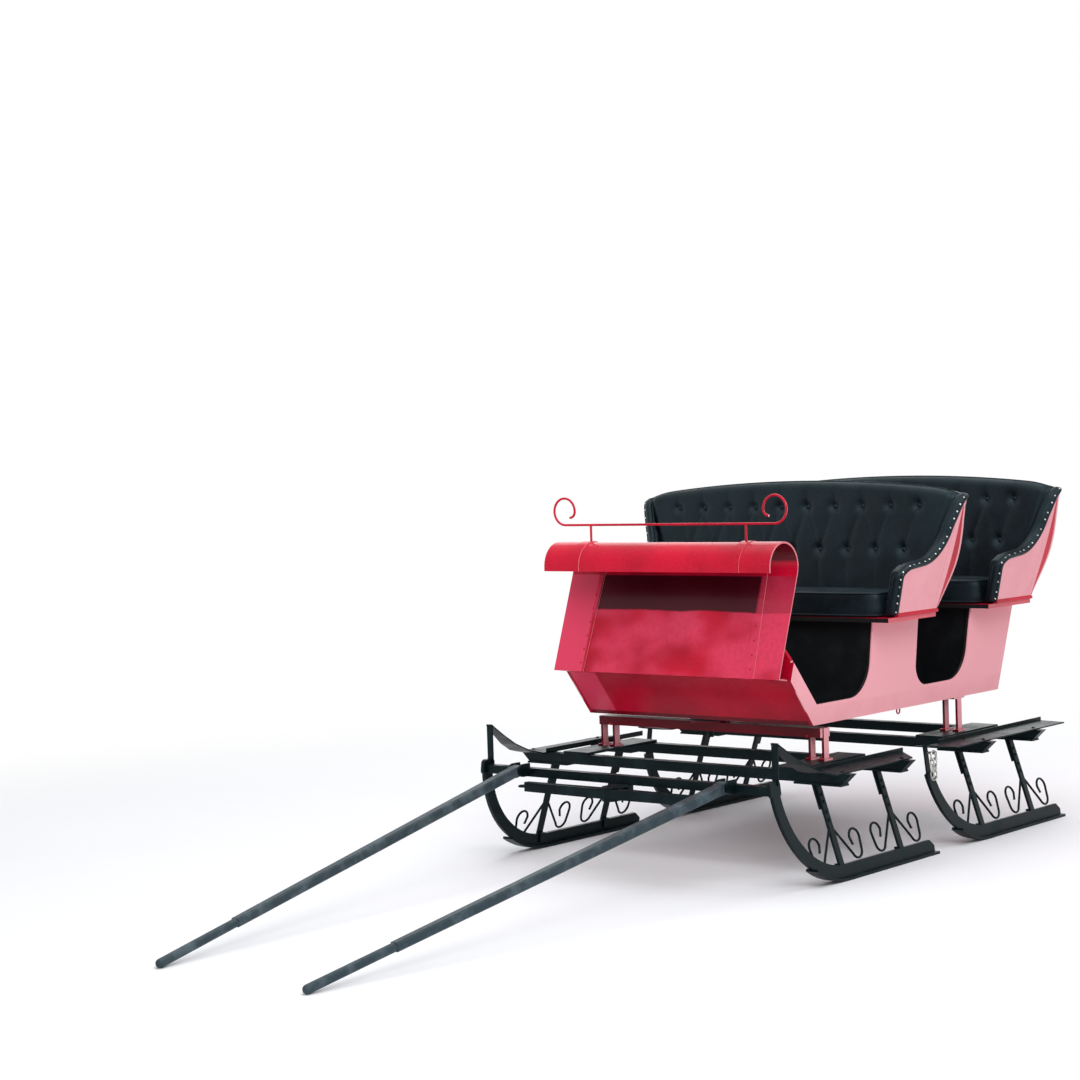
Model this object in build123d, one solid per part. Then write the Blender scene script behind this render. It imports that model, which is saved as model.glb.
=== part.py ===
from build123d import *
import math
import os

# Two-seat sleigh on two steel bob sleds, with a pair of shafts.
# Millimetres. +X forward, +Y to the driver's left, +Z up.
# Sizes along X are first given from the king bolt of the front bob (x = 0 there),
# and everything moves by frame_x at the end, so that the origin is on the floor
# under the middle of the whole outline.

# Driving dimensions, body
body_half = 517.0            # outer face of a side panel
panel = 16.0                 # side panels, floor, toe and rear panel
floor_z = 526.0              # underside of the body
toe_foot_x = 80.0            # front end of the floor
toe_top_x = 218.0
toe_top_z = 700.0
tail_foot_x = -1279.0        # rear end of the floor
tail_top_x = -1422.0
rail_z = 873.0               # top of the side panels, under the seats
sill_z = 600.0               # bottom of the two door notches
front_door_x = (54.0, -300.0)       # front and rear ends of its sill
door_slope = 0.849                  # its front edge, run forward for each unit of rise
front_door_r = 145.0
rear_door_x = (-628.0, -1008.0)
rear_door_top_x = (-680.0, -1090.0)
door_over = 60.0                    # height above the panel at which those are given
rear_door_r = 150.0
board_z = 812.0              # top of the front board behind the dash
board_cut = 42.0             # its slanted upper corners
brace_y = 295.0              # flat irons from the front board to the dash
brace_wide = 30.0
brace_thick = 8.0
seat_pitch = 751.0           # front seat to rear seat

eye_x = -517.0               # small ring under the left side
eye_r = 11.0
eye_rod = 3.0

# Driving dimensions, dash
dash_foot_x = 288.0
dash_foot_z = 712.0
dash_top_z = 1199.0
dash_lip_x = 330.0           # front of the rolled top
dash_lip_drop = 15.0         # straight end of the roll below its middle
dash_rake = 0.366            # run back for each unit of rise
dash_sheet = 5.0
rib_foot_y = 391.0           # middle of a raised band at the dash's foot
rib_y = 367.0                # and at the roll
rib_wide = 38.0
rib_proud = 4.0
collar_proud = 5.0           # band round the roll above each raised band
sleeve_proud = 2.0           # outer end of the roll

# Driving dimensions, rein rail on the dash
rein_rod = 4.5               # radius of the rod
rein_z = 1265.0
rein_post_y = 357.0
curl_y = 482.0
curl_r = (52.0, 50.0, 50.0, 24.0)   # radius of each quarter of a curl, from the rail on

# Driving dimensions, seats
deck = 16.0                  # seat board
seat_half = 618.0            # outer face of a wing at the seat board
flare = 0.330                # a wing leans out this much for each unit of rise
seat_front_x = -348.0        # front edge of a wing at the seat board
wing_lean = 0.217            # front edge of a wing, run forward for each unit of rise
back_foot_x = -644.0         # outer face of the back at the seat board
back_belly_x = -742.0        # and where it bulges most
back_head_x = -652.0         # and at the top of the tub
belly_z = 1095.0
foot_corner_r = 20.0         # rear corners of the shell: tight, then barrel-like, then tight
belly_corner_r = 116.0
head_corner_r = 24.0
tub_steps = 6                # straight steps that make up each part of the swell
shell = 14.0
arm_z = 1050.0               # top of a wing at its front
arm_slope = 34.0             # rise of the arm rest to its rear end
arm_end_x = -455.0
sweep_mid = (-548.0, 80.0)   # the wing's edge sweeps up to its head: x, and height above arm_z
sweep_end = (-588.0, 168.0)
neck_end = (-612.0, 240.0)
head_mid = (-630.0, 272.0)
head_end = (-668.0, 290.0)
back_end_z = 1345.0          # top of the back at its ends
back_mid_z = 1390.0          # top of the back in the middle
back_end_y = 740.0
moulding_r = 7.0             # half-round strip on the shell's foot
arm_pad = 38.0
back_pad = 74.0
pad_lean = 0.105             # front face of the upholstered back, run back for each unit of rise
pad_proud = 12.0             # upholstery above the shell's edge
cushion_high = 102.0
cushion_nose = 62.0          # cushion in front of the wings
cushion_round = 24.0
soft_gap = 0.5               # between soft pieces and what holds them

# Driving dimensions, bobs
bob_pitch = 1002.0           # front king bolt to the middle of the rear bob
knee_x = 201.0               # a knee is this far ahead of and behind its bob's middle
beam = 38.0                  # height and breadth of a cross beam
beam_top_z = 381.0
beam_half = 760.0
beam_cut = 40.0              # slanted end of a beam
knee_top_y = 604.0
knee_foot_y = 697.0
knee_bar = 28.0
knee_thick = 10.0
knee_doubler = 38.0
foot_plate = 7.0             # angle that bolts a knee to the blade
pad_plate = 7.0              # plate between a knee and its beam
pad_half = 26.0
pad_in_y = 522.0
pad_out_y = beam_half - beam_cut + 2
runner_r = 400.0             # curve of the nose, with the shoe
runner_x = 178.0             # start of the curve, ahead of the bob's middle
runner_deep = 45.0
runner_thick = 14.0
runner_tilt = 7.1            # the blades lean in by this many degrees
heel_x = -432.0
shoe = 10.0
shoe_wide = 50.0
shoe_turn = 32.0             # degrees of the curve that the shoe covers
nose_turn = 88.0             # degrees of curve on a front blade
rear_nose_turn = 74.0
scroll_rod = 4.5
strap_wide = 26.0
strap_thick = 6.0

# Driving dimensions, step boards
board = 5.0
board_in_y = 610.0
board_out_y = 730.0
board_tail_x = -245.0        # outer corner of a front board's tail
board_tail_cut = 125.0       # the inner corner lies this much further back
rear_board_tail_x = -430.0   # from the rear bob's middle
board_rise_z = 517.0         # front end of a front board
board_lip = 14.0

# Driving dimensions, bolster, posts and turntable
post_out_y = 513.0
post_in_y = 455.0
post_wide = 32.0
post_thick = 10.0
rear_post_dx = 37.0
strip = 6.0                  # plates that bolt the rear posts to the floor
strip_half = 40.0
side_plate = 10.0
side_plate_wide = 120.0
bolster_high = 34.0
bolster_wide = 62.0
bolster_half = post_out_y
turn_r = 76.0
turn_plate = 8.0
turn_gap = 0.3
king_r = 12.0

# Driving dimensions, draw gear
draw_x = 540.0
draw_z = 357.0
draw_bar = 32.0
pin_x = 580.0
pin_z = 366.0
shaft_y = 470.0              # middle of a shaft at its pin
shaft_tip_y = 322.0
shaft_long = 1930.0
shaft_butt = 38.0            # square section at the pin
shaft_slim = 31.0            # square section where the round end begins
shaft_tip_r = 15.0
shaft_round = 360.0          # length of the round end
shaft_heel = 34.0            # straight end between the ears, before the shaft turns in
ear = 8.0
ear_r = 24.0
ear_gap = 1.0
shaft_pin_r = 8.0
pin_play = 0.08
tree_x = 622.0
tree_z = 316.0
tree_half = 395.0
tree_high = 34.0
hook_r = 15.0
hook_rod = 4.0

# Driving dimensions, chain at the rear bob's left nose
link_long = 34.0
link_wide = 18.0
link_wire = 2.6
strand_links = 3
strand_x = 10.5
chain_z = 371.0
chain_y = 685.0
chain_play = 0.4
shackle_bolt = 5.0
shackle_wire = 3.2
shackle_half = 18.0
shackle_leg = 16.0

# Sizes worked out from those above
beam_z = beam_top_z - beam
beam_mid_z = beam_top_z - beam / 2
deck_z = rail_z + deck
inner_half = body_half - panel
blade_r = runner_r - shoe
dash_slant = math.atan(dash_rake)
roll_r = (dash_lip_x - dash_foot_x + dash_rake * (dash_top_z - dash_foot_z)) / (
    1 + math.cos(dash_slant) + dash_rake * (1 + math.sin(dash_slant)))
roll_x = dash_lip_x - roll_r
roll_z = dash_top_z - roll_r
shaft_toe = math.asin((shaft_y - shaft_tip_y) / (shaft_long - shaft_heel - shaft_tip_r))
tip_run = shaft_heel + (shaft_long - shaft_heel - shaft_tip_r) * math.cos(shaft_toe)
shaft_drop = math.asin((pin_z - shaft_tip_r) / tip_run)
bolster_top_z = floor_z - 2 * turn_plate - turn_gap
front_reach = pin_x + tip_run * math.cos(shaft_drop) + shaft_tip_r
tub_top = back_mid_z + 3 * pad_proud
rear_reach = back_belly_x - seat_pitch
frame_x = -(front_reach + rear_reach) / 2

os.makedirs("parts", exist_ok=True)


def save(name, *solids):
    """Moves the solids of one piece into the part's frame and writes them."""
    moved = [Pos(frame_x, 0, 0) * solid for solid in solids]
    piece = moved[0] if len(moved) == 1 else Compound(children=moved)
    piece.label = name
    export_step(piece, f"parts/{name}.step")


def both(name, solid):
    """Writes a left piece and its mirror image."""
    save(f"{name}_left", solid)
    save(f"{name}_right", mirror(solid, about=Plane.XZ))


def block(x0, x1, y0, y1, z0, z1):
    """A box between two corners."""
    return Pos((x0 + x1) / 2, (y0 + y1) / 2, (z0 + z1) / 2) * Box(abs(x1 - x0), abs(y1 - y0), abs(z1 - z0))


def side_plate_of(face, y0, y1):
    """A face drawn in x and z, as a plate from y0 to y1."""
    return Pos(0, y1, 0) * extrude(Plane.XZ * face, amount=y1 - y0)


def polygon(*points):
    return make_face(Polyline(*points, close=True))


def rod(path, radius):
    """A round bar along a path."""
    start = path @ 0
    return sweep(Plane(start, z_dir=path % 0) * Circle(radius), path=path)


# Body panels
def lead_x(z):
    """Where the front edge of the body is at a height above the toe panel."""
    return toe_top_x - dash_rake * (z - toe_top_z)


def body_side():
    """Flat panel with two door notches, whose rear sides are rounded."""
    over = rail_z + door_over
    outline = polygon((toe_foot_x, floor_z), (toe_top_x, toe_top_z), (lead_x(rail_z), rail_z),
                      (tail_top_x, rail_z), (tail_foot_x, floor_z))
    fore, aft = front_door_x
    front_door = polygon((fore, sill_z), (fore + door_slope * (over - sill_z), over), (seat_front_x, over),
                         (aft, sill_z))
    front_door = fillet(front_door.vertices().sort_by_distance((aft, sill_z, 0))[0], front_door_r)
    fore, aft = rear_door_x
    high_fore, high_aft = rear_door_top_x
    rear_door = polygon((high_fore, over), (fore, sill_z), (aft, sill_z), (high_aft, over))
    rear_door = fillet(rear_door.vertices().sort_by_distance((aft, sill_z, 0))[0], rear_door_r)
    rear_door = fillet(rear_door.vertices().sort_by_distance((fore, sill_z, 0))[0], rear_door_r / 2)
    return side_plate_of(outline - front_door - rear_door, inner_half, body_half)


def ring_eye():
    """Small ring, half let into the bottom edge of the left side."""
    turn = Rot(90, 0, 0) * Torus(eye_r, eye_rod)
    return Pos(eye_x, body_half - panel / 2, floor_z - eye_r + eye_rod) * turn


def tail_x(z):
    """Where the slanting rear edge of the body is at a height."""
    return tail_foot_x + (tail_top_x - tail_foot_x) * (z - floor_z) / (rail_z - floor_z)


def body_floor():
    back = tail_x(floor_z + panel) + panel
    face = polygon((toe_foot_x, floor_z), (back, floor_z), (back, floor_z + panel),
                   (toe_foot_x + panel * (toe_top_x - toe_foot_x) / (toe_top_z - floor_z), floor_z + panel))
    plate = side_plate_of(face, -inner_half, inner_half)
    return plate - Pos(0, 0, floor_z) * Cylinder(king_r, 6 * panel)


def dash_back_x(z):
    return dash_foot_x - dash_rake * (z - dash_foot_z)


def toe_panel():
    """Slanted panel under the dash, the front board above it and the irons from the board to the dash."""
    run = toe_top_x - toe_foot_x
    rise = toe_top_z - floor_z
    thick = panel * math.hypot(run, rise) / rise
    low = floor_z + panel
    low_x = toe_foot_x + panel * run / rise
    face = polygon((low_x, low), (toe_top_x, toe_top_z), (toe_top_x - thick, toe_top_z), (low_x - thick, low))
    plate = side_plate_of(face, -inner_half, inner_half)
    face = polygon((toe_top_x, toe_top_z), (lead_x(board_z), board_z), (lead_x(board_z) - panel, board_z),
                   (toe_top_x - panel, toe_top_z))
    board = side_plate_of(face, -inner_half, inner_half)
    plate += board
    for side in (-1, 1):
        corner = polygon((side * inner_half, board_z - board_cut), (side * inner_half, board_z + 1),
                         (side * (inner_half - board_cut - 1), board_z + 1))
        plate -= extrude(Plane.YZ * corner, amount=2 * toe_top_x, both=True)
    low = board_z - brace_thick - panel
    high = board_z - panel
    face = polygon((lead_x(low), low), (dash_back_x(low), low), (dash_back_x(high), high), (lead_x(high), high))
    for y in (-brace_y, brace_y):
        plate += side_plate_of(face, y - brace_wide / 2, y + brace_wide / 2)
    return plate


def rear_panel():
    low = floor_z
    face = polygon((tail_x(low), low), (tail_x(low) + panel, low), (tail_x(rail_z) + panel, rail_z),
                   (tail_x(rail_z), rail_z))
    floor_end = tail_x(floor_z + panel) + panel
    return side_plate_of(face, -inner_half, inner_half) - block(
        floor_end, floor_end + 200, -inner_half, inner_half, floor_z, floor_z + panel)


def seat_riser(dx):
    face_x = seat_front_x + 20 + dx
    return block(face_x - 12, face_x, -inner_half, inner_half, floor_z + panel, rail_z)


# Dash
def dash_profile(depth):
    """The sheet's section: a lip, the raked face and the roll, depth thick on the inside."""
    turn_x = roll_x - roll_r * math.cos(dash_slant)
    turn_z = roll_z - roll_r * math.sin(dash_slant)
    inner = roll_r - depth
    skew = depth / math.cos(dash_slant)
    outer_line = (Line((dash_foot_x, dash_foot_z), (turn_x, turn_z))
                  + ThreePointArc((turn_x, turn_z), (roll_x, dash_top_z), (dash_lip_x, roll_z))
                  + Line((dash_lip_x, roll_z), (dash_lip_x, roll_z - dash_lip_drop))
                  + Line((dash_lip_x, roll_z - dash_lip_drop), (dash_lip_x - depth, roll_z - dash_lip_drop))
                  + Line((dash_lip_x - depth, roll_z - dash_lip_drop), (dash_lip_x - depth, roll_z)))
    inner_x = roll_x - inner * math.cos(dash_slant)
    inner_z = roll_z - inner * math.sin(dash_slant)
    inner_line = (ThreePointArc((dash_lip_x - depth, roll_z), (roll_x, roll_z + inner), (inner_x, inner_z))
                  + Line((inner_x, inner_z), (dash_foot_x + skew, dash_foot_z))
                  + Line((dash_foot_x + skew, dash_foot_z), (dash_foot_x, dash_foot_z)))
    return make_face(outer_line.edges() + inner_line.edges())


def roll_band(proud, y0, y1):
    """Band on the outer face of the roll and its lip, between two stations across the sleigh."""
    ring = Pos(roll_x, roll_z) * (Circle(roll_r + proud) - Circle(roll_r - dash_sheet / 2))
    upper = ring & (Pos(roll_x, roll_z + roll_r) * Rectangle(4 * roll_r, 2 * roll_r))
    drop = polygon((dash_lip_x - dash_sheet / 2, roll_z), (dash_lip_x + proud, roll_z),
                   (dash_lip_x + proud, roll_z - dash_lip_drop), (dash_lip_x - dash_sheet / 2, roll_z - dash_lip_drop))
    return side_plate_of(upper, y0, y1) + side_plate_of(drop, y0, y1)


def rib(side):
    """Raised band up the dash's face, leaning in towards its top."""
    half = rib_wide / 2
    y0 = side * rib_foot_y
    y1 = side * rib_y
    face = polygon((y0 - half, dash_foot_z), (y0 + half, dash_foot_z), (y1 + half, dash_top_z), (y1 - half, dash_top_z))
    across = extrude(Plane.YZ * face, amount=2 * dash_lip_x, both=True)
    return side_plate_of(dash_profile(dash_sheet + rib_proud), -body_half, body_half) & across


def dash():
    """Rolled sheet with raised bands, collars and sleeves, and the lip that meets the toe panel."""
    body = side_plate_of(dash_profile(dash_sheet), -body_half, body_half)
    for side in (-1, 1):
        body += rib(side)
        y0, y1 = sorted((side * (rib_y - rib_wide / 2), side * (rib_y + rib_wide / 2)))
        body += roll_band(collar_proud, y0, y1)
        y0, y1 = sorted((side * (rib_y + rib_wide / 2), side * body_half))
        body += roll_band(sleeve_proud, y0, y1)
    lip_z = toe_top_z + dash_sheet
    foot = polygon((toe_top_x, toe_top_z), (dash_foot_x + dash_sheet, dash_foot_z),
                   (dash_back_x(dash_foot_z + dash_sheet), dash_foot_z + dash_sheet), (lead_x(lip_z), lip_z))
    return body + side_plate_of(foot, -inner_half, inner_half)


def dash_rail():
    """Rein rail: a rod on two posts that ends in a curl at each side."""
    z = rein_z
    rail = None
    for side in (-1, 1):
        run = [Line((0, z), (side * curl_y, z))]
        turn = -90.0
        at = Vector(side * curl_y, z)
        for radius in curl_r:
            start = math.radians(turn)
            centre = (at.X - side * radius * math.cos(start), at.Y - radius * math.sin(start))
            half = math.radians(turn + 45)
            end = math.radians(turn + 90)
            mid = (centre[0] + side * radius * math.cos(half), centre[1] + radius * math.sin(half))
            stop = (centre[0] + side * radius * math.cos(end), centre[1] + radius * math.sin(end))
            run.append(ThreePointArc((at.X, at.Y), mid, stop))
            at = Vector(*stop)
            turn = turn + 90
        path = Plane.YZ * Wire([edge for line in run for edge in line.edges()])
        half_rail = Pos(roll_x, 0, 0) * rod(path, rein_rod)
        foot_z = dash_top_z + collar_proud
        post = Pos(roll_x, side * rein_post_y, (z + foot_z) / 2) * Cylinder(rein_rod, z - foot_z)
        half_rail = half_rail + post
        rail = half_rail if rail is None else rail + half_rail
    return rail


# Seats
def swell(z, foot, belly, head):
    """A size that grows from the seat board to the belly, then eases to its value at the top of the tub."""
    if z <= belly_z:
        return foot + (belly - foot) * math.sin(math.radians(90 * (z - deck_z) / (belly_z - deck_z)))
    return belly + (head - belly) * (1 - math.cos(math.radians(180 * (z - belly_z) / (tub_top - belly_z)))) / 2


def shell_section(z, inset):
    """Outline of a seat's tub at a height, inset from the outer face."""
    half = seat_half + flare * (z - deck_z) - inset
    back = swell(z, back_foot_x, back_belly_x, back_head_x) + inset
    face = polygon((0, -half), (0, half), (back, half), (back, -half))
    rear = face.vertices().sort_by(Axis.X)[:2]
    radius = swell(z, foot_corner_r, belly_corner_r, head_corner_r) + inset / 4
    return Pos(0, 0, z) * fillet(rear, radius)


def tub(inset):
    """Barrel-backed solid from the seat board to above the back, inset from the shell's outer face."""
    low = [deck_z + (belly_z - deck_z) * i / tub_steps for i in range(tub_steps)]
    high = [belly_z + (tub_top - belly_z) * i / tub_steps for i in range(tub_steps + 1)]
    return loft([shell_section(z, inset) for z in low + high], ruled=True)


def wing_x(z):
    return seat_front_x + wing_lean * (z - deck_z)


def wing_profile(raise_z, ahead):
    """Side view under the sweeping top edge of a wing, raised and moved ahead for upholstery."""
    z = arm_z + raise_z
    top = back_mid_z + 5 * pad_proud
    front = wing_x(arm_z) + ahead
    nose = (front - arm_pad, z + 0.7 * arm_slope)
    arm_end = (arm_end_x, z + arm_slope)
    mid, end, neck, crown, last = [(x, z + up) for x, up in (sweep_mid, sweep_end, neck_end, head_mid, head_end)]
    far = back_belly_x - 200
    edge = [Line((seat_front_x + ahead, deck_z), (front, z)), Line((front, z), nose), Line(nose, arm_end),
            ThreePointArc(arm_end, mid, end), Line(end, neck), ThreePointArc(neck, crown, last),
            Line(last, (last[0], top)), Line((last[0], top), (far, top)), Line((far, top), (far, deck_z)),
            Line((far, deck_z), (seat_front_x + ahead, deck_z))]
    wide = 2 * seat_half
    return side_plate_of(make_face([line.edge() for line in edge]), -wide, wide)


def back_arch(raise_z):
    """Everything under the arched top of the back."""
    low = back_end_z + raise_z
    side = 2 * seat_half
    drop = low - 2 * pad_proud
    points = [(back_end_y, low), (side, drop), (side, deck_z), (-side, deck_z), (-side, drop), (-back_end_y, low)]
    edge = [ThreePointArc((-back_end_y, low), (0, back_mid_z + raise_z), (back_end_y, low))]
    edge += [Line(points[i], points[i + 1]) for i in range(len(points) - 1)]
    return Pos(-side, 0, 0) * extrude(Plane.YZ * make_face([line.edge() for line in edge]), amount=side)


def seat_shell():
    """Flared panels in one barrel-backed shell, with a half-round strip along its foot."""
    wall = (tub(0) - tub(shell)) & wing_profile(0, 0) & back_arch(0)
    strip = extrude(shell_section(deck_z, -moulding_r), amount=2 * moulding_r)
    rims = strip.edges().group_by(Axis.Z)
    strip = fillet(rims[0] + rims[-1], 0.8 * moulding_r) - tub(shell / 2)
    ahead = wing_x(deck_z + moulding_r)
    strip = strip & block(-seat_pitch - body_half, ahead, -2 * seat_half, 2 * seat_half, 0, 2 * deck_z)
    return wall + strip


def seat_deck():
    face = polygon((seat_front_x + cushion_nose, -seat_half), (seat_front_x + cushion_nose, seat_half),
                   (back_foot_x, seat_half), (back_foot_x, -seat_half))
    rear = face.vertices().sort_by(Axis.X)[:2]
    return extrude(Pos(0, 0, rail_z) * fillet(rear, foot_corner_r), amount=deck)


def behind_pad_front():
    """Everything behind the front face of the upholstered back, as a plate across the seat."""
    foot_x = back_foot_x + shell + back_pad
    top = back_mid_z + 5 * pad_proud
    low = deck_z + soft_gap
    far = back_belly_x - 200
    face = polygon((foot_x, low), (far, low), (far, top), (foot_x - pad_lean * (top - low), top))
    return side_plate_of(face, -2 * seat_half, 2 * seat_half)


def arm_pads():
    """Upholstery on the inner face of the left wing, proud of its edge."""
    layer = tub(shell + soft_gap) - tub(shell + soft_gap + arm_pad)
    layer = layer & wing_profile(pad_proud, pad_proud) & back_arch(pad_proud)
    low = deck_z + soft_gap
    layer = layer & block(back_belly_x, 0, 0, 2 * seat_half, low, 2 * deck_z)
    return layer - Pos(soft_gap, 0, 0) * behind_pad_front()


def back_cushion():
    """Upholstered back between the wings, with its rear corners in the shell's."""
    return tub(shell + soft_gap) & back_arch(pad_proud) & behind_pad_front()


def seat_cushion():
    half = seat_half - shell - arm_pad - 2 * soft_gap
    rear = back_foot_x + shell + back_pad + 3 * soft_gap
    pad = block(seat_front_x + cushion_nose - 2, rear, -half, half, deck_z + soft_gap, deck_z + cushion_high)
    return fillet(pad.edges().group_by(Axis.Z)[-1], cushion_round)


# Running gear of one bob, drawn about its middle
def cross_beam():
    """Square section with slanted ends under the step boards, and a plate on each knee's head."""
    face = polygon((-beam_half, beam_top_z), (beam_half, beam_top_z), (beam_half - beam_cut, beam_z),
                   (-beam_half + beam_cut, beam_z))
    bar = Pos(-beam / 2, 0, 0) * extrude(Plane.YZ * face, amount=beam)
    for side in (-1, 1):
        y0, y1 = sorted((side * pad_in_y, side * pad_out_y))
        bar += block(-pad_half, pad_half, y0, y1, beam_z - pad_plate, beam_z)
    return bar


def tilt(solid):
    """Leans a piece of the left running gear in, about the shoe's top."""
    return Pos(0, knee_foot_y, shoe) * Rot(runner_tilt, 0, 0) * Pos(0, -knee_foot_y, -shoe) * solid


def arc_band(outer, inner, turn):
    """Part of a ring about the centre of the nose's curve, from its foot up to an angle."""
    def at(radius, angle):
        a = math.radians(angle)
        return (runner_x + radius * math.sin(a), runner_r - radius * math.cos(a))
    return make_face([
        ThreePointArc(at(outer, 0), at(outer, turn / 2), at(outer, turn)).edge(),
        Line(at(outer, turn), at(inner, turn)).edge(),
        ThreePointArc(at(inner, turn), at(inner, turn / 2), at(inner, 0)).edge(),
        Line(at(inner, 0), at(outer, 0)).edge()])


def runner(front):
    """Left runner: blade on edge with its curved nose, and a flat shoe under it."""
    turn = nose_turn if front else rear_nose_turn
    blade = arc_band(blade_r, blade_r - runner_deep, turn)
    blade += polygon((runner_x, shoe), (runner_x, shoe + runner_deep), (heel_x + 30, shoe + runner_deep),
                     (heel_x, shoe + runner_deep - 24), (heel_x, shoe))
    solid = side_plate_of(blade, knee_foot_y - runner_thick / 2, knee_foot_y + runner_thick / 2)
    a = math.radians(turn)
    tip_z = runner_r - (blade_r - runner_deep / 2) * math.cos(a)
    tip_x = runner_x + (blade_r - runner_deep / 2) * math.sin(a)
    if front:
        head = Pos(tip_x - 4, tip_z - 20) * Rectangle(62, 56)
        head = fillet(head.vertices(), 14)
        solid += side_plate_of(head, knee_foot_y - runner_thick / 2, knee_foot_y + runner_thick / 2)
    else:
        strap = polygon((tip_x - 14, tip_z - 20), (tip_x + 14, tip_z - 20), (tip_x + 12, 430), (tip_x - 12, 430))
        solid += side_plate_of(strap, knee_foot_y - strap_thick / 2, knee_foot_y + strap_thick / 2)
    solid = tilt(solid) - block(-900, 900, 0, 900, -60, shoe)
    over = board_line(front) + [(900, 900), (-900, 900)]
    solid -= side_plate_of(polygon(*over), 0, 900)
    sole = arc_band(runner_r, blade_r, shoe_turn)
    sole += polygon((runner_x, 0), (runner_x, shoe), (heel_x - 6, shoe), (heel_x - 6, 0))
    plate = side_plate_of(sole, knee_foot_y - shoe_wide / 2, knee_foot_y + shoe_wide / 2)
    return solid + plate


def scroll(direction):
    """One round bar from a knee down to the runner that curls up and back over."""
    d = direction
    start = (0, 205)
    low = (92 * d, 86)
    path = [Line(start, low),
            ThreePointArc(low, (124 * d, 67), (153 * d, 92)),
            Line((153 * d, 92), (160 * d, 136)),
            ThreePointArc((160 * d, 136), (130 * d, 172), (98 * d, 143)),
            Line((98 * d, 143), (108 * d, 116))]
    wire = Plane.XZ * Wire([line.edge() for line in path])
    return rod(wire, scroll_rod)


def knees():
    """Left knees of one bob: splayed bars with doublers, top pads, feet on the blade and scroll bars."""
    splay = math.degrees(math.atan((knee_foot_y - knee_top_y) / (beam_z - shoe - runner_deep)))
    slope = math.cos(math.radians(splay))
    above_blade = tilt(block(-900, 900, -900, 900, shoe + runner_deep, 900)
                       - side_plate_of(arc_band(900, blade_r - runner_deep, 60), -900, 900))
    foot_y = knee_foot_y - runner_thick / 2
    solid = None
    for x in (knee_x, -knee_x):
        length = beam_z / slope
        bar = Pos(0, 0, -length / 2) * Box(knee_bar, knee_thick, length)
        doubler = Pos(0, -knee_thick / 2 - 3, -48) * Box(knee_doubler, 8, 96)
        curls = Pos(0, 0, -length) * (scroll(1) + scroll(-1))
        piece = Pos(x, knee_top_y, beam_z) * Rot(splay, 0, 0) * (bar + doubler + curls)
        piece = piece & above_blade
        over = shoe + runner_deep
        piece += tilt(block(x - knee_bar / 2, x + knee_bar / 2, foot_y - foot_plate, foot_y, shoe + 14, over))
        piece += tilt(block(x - knee_bar / 2, x + knee_bar / 2, foot_y - foot_plate,
                            knee_foot_y + knee_thick, over, over + foot_plate))
        solid = piece if solid is None else solid + piece
    return solid & block(-900, 900, 0, 900, shoe + 2, beam_z - pad_plate)


def board_line(front):
    """Underside of a step board in x and z: level over the beams, rising to its nose."""
    z = beam_top_z
    if front:
        return [(-600, z), (262, z), (336, z + 18), (410, z + 52), (470, z + 92), (528, board_rise_z)]
    return [(-600, z), (430, z), (500, z + 8), (592, z + 24)]


def step_board(front):
    """Left step board, narrow at its nose, with a raised inner edge."""
    nose_x = 528.0 if front else 590.0
    broad_x = 300.0 if front else 430.0
    tail = board_tail_x if front else rear_board_tail_x
    cut = board_tail_cut if front else 20.0
    nose_y = 650.0
    plan = polygon((tail, board_out_y), (broad_x, board_out_y), (nose_x, nose_y + 15), (nose_x, nose_y - 15),
                   (broad_x, board_in_y), (tail - cut, board_in_y))
    low = board_line(front)
    high = [(x, z + board) for x, z in reversed(low)]
    sheet = side_plate_of(polygon(*(low + high)), 0, 900)
    solid = sheet & extrude(plan, amount=900)
    lip = block(tail - cut, broad_x - 60, board_in_y, board_in_y + board, beam_top_z, beam_top_z + board + board_lip)
    solid += lip
    if front:
        strap = block(nose_x - strap_thick, nose_x, nose_y - strap_wide / 2, nose_y + strap_wide / 2,
                      runner_r - 24, board_rise_z + board)
        solid += strap
    return solid


# Steel between body and bobs
def side_plates():
    """Left plate on both beams of a bob, which the posts stand on."""
    y = (post_out_y + post_in_y) / 2
    return block(-knee_x - beam / 2, knee_x + beam / 2, y - side_plate_wide / 2, y + side_plate_wide / 2,
                 beam_top_z, beam_top_z + side_plate)


def posts(dx, inner_top, outer_top):
    """The two left posts, flat bars with welded feet."""
    foot = beam_top_z + side_plate
    solid = None
    for y, top in ((post_in_y, inner_top), (post_out_y, outer_top)):
        bar = block(dx - post_wide / 2, dx + post_wide / 2, y - post_thick / 2, y + post_thick / 2, foot, top)
        bar += block(dx - post_wide / 2 - 12, dx + post_wide / 2 + 12, y - post_thick / 2 - 8,
                     y + post_thick / 2 + 8, foot, foot + 7)
        solid = bar if solid is None else solid + bar
    return solid


def front_bolster():
    """Cross beam under the body, its four posts and the lower turntable plate."""
    low = bolster_top_z - bolster_high
    body = block(-bolster_wide / 2, bolster_wide / 2, -bolster_half, bolster_half, low, bolster_top_z)
    left = posts(0, low + 1, bolster_top_z)
    body += left + mirror(left, about=Plane.XZ)
    body += Pos(0, 0, bolster_top_z + turn_plate / 2) * Cylinder(turn_r, turn_plate)
    return body - Pos(0, 0, bolster_top_z) * Cylinder(king_r + pin_play, 200)


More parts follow.
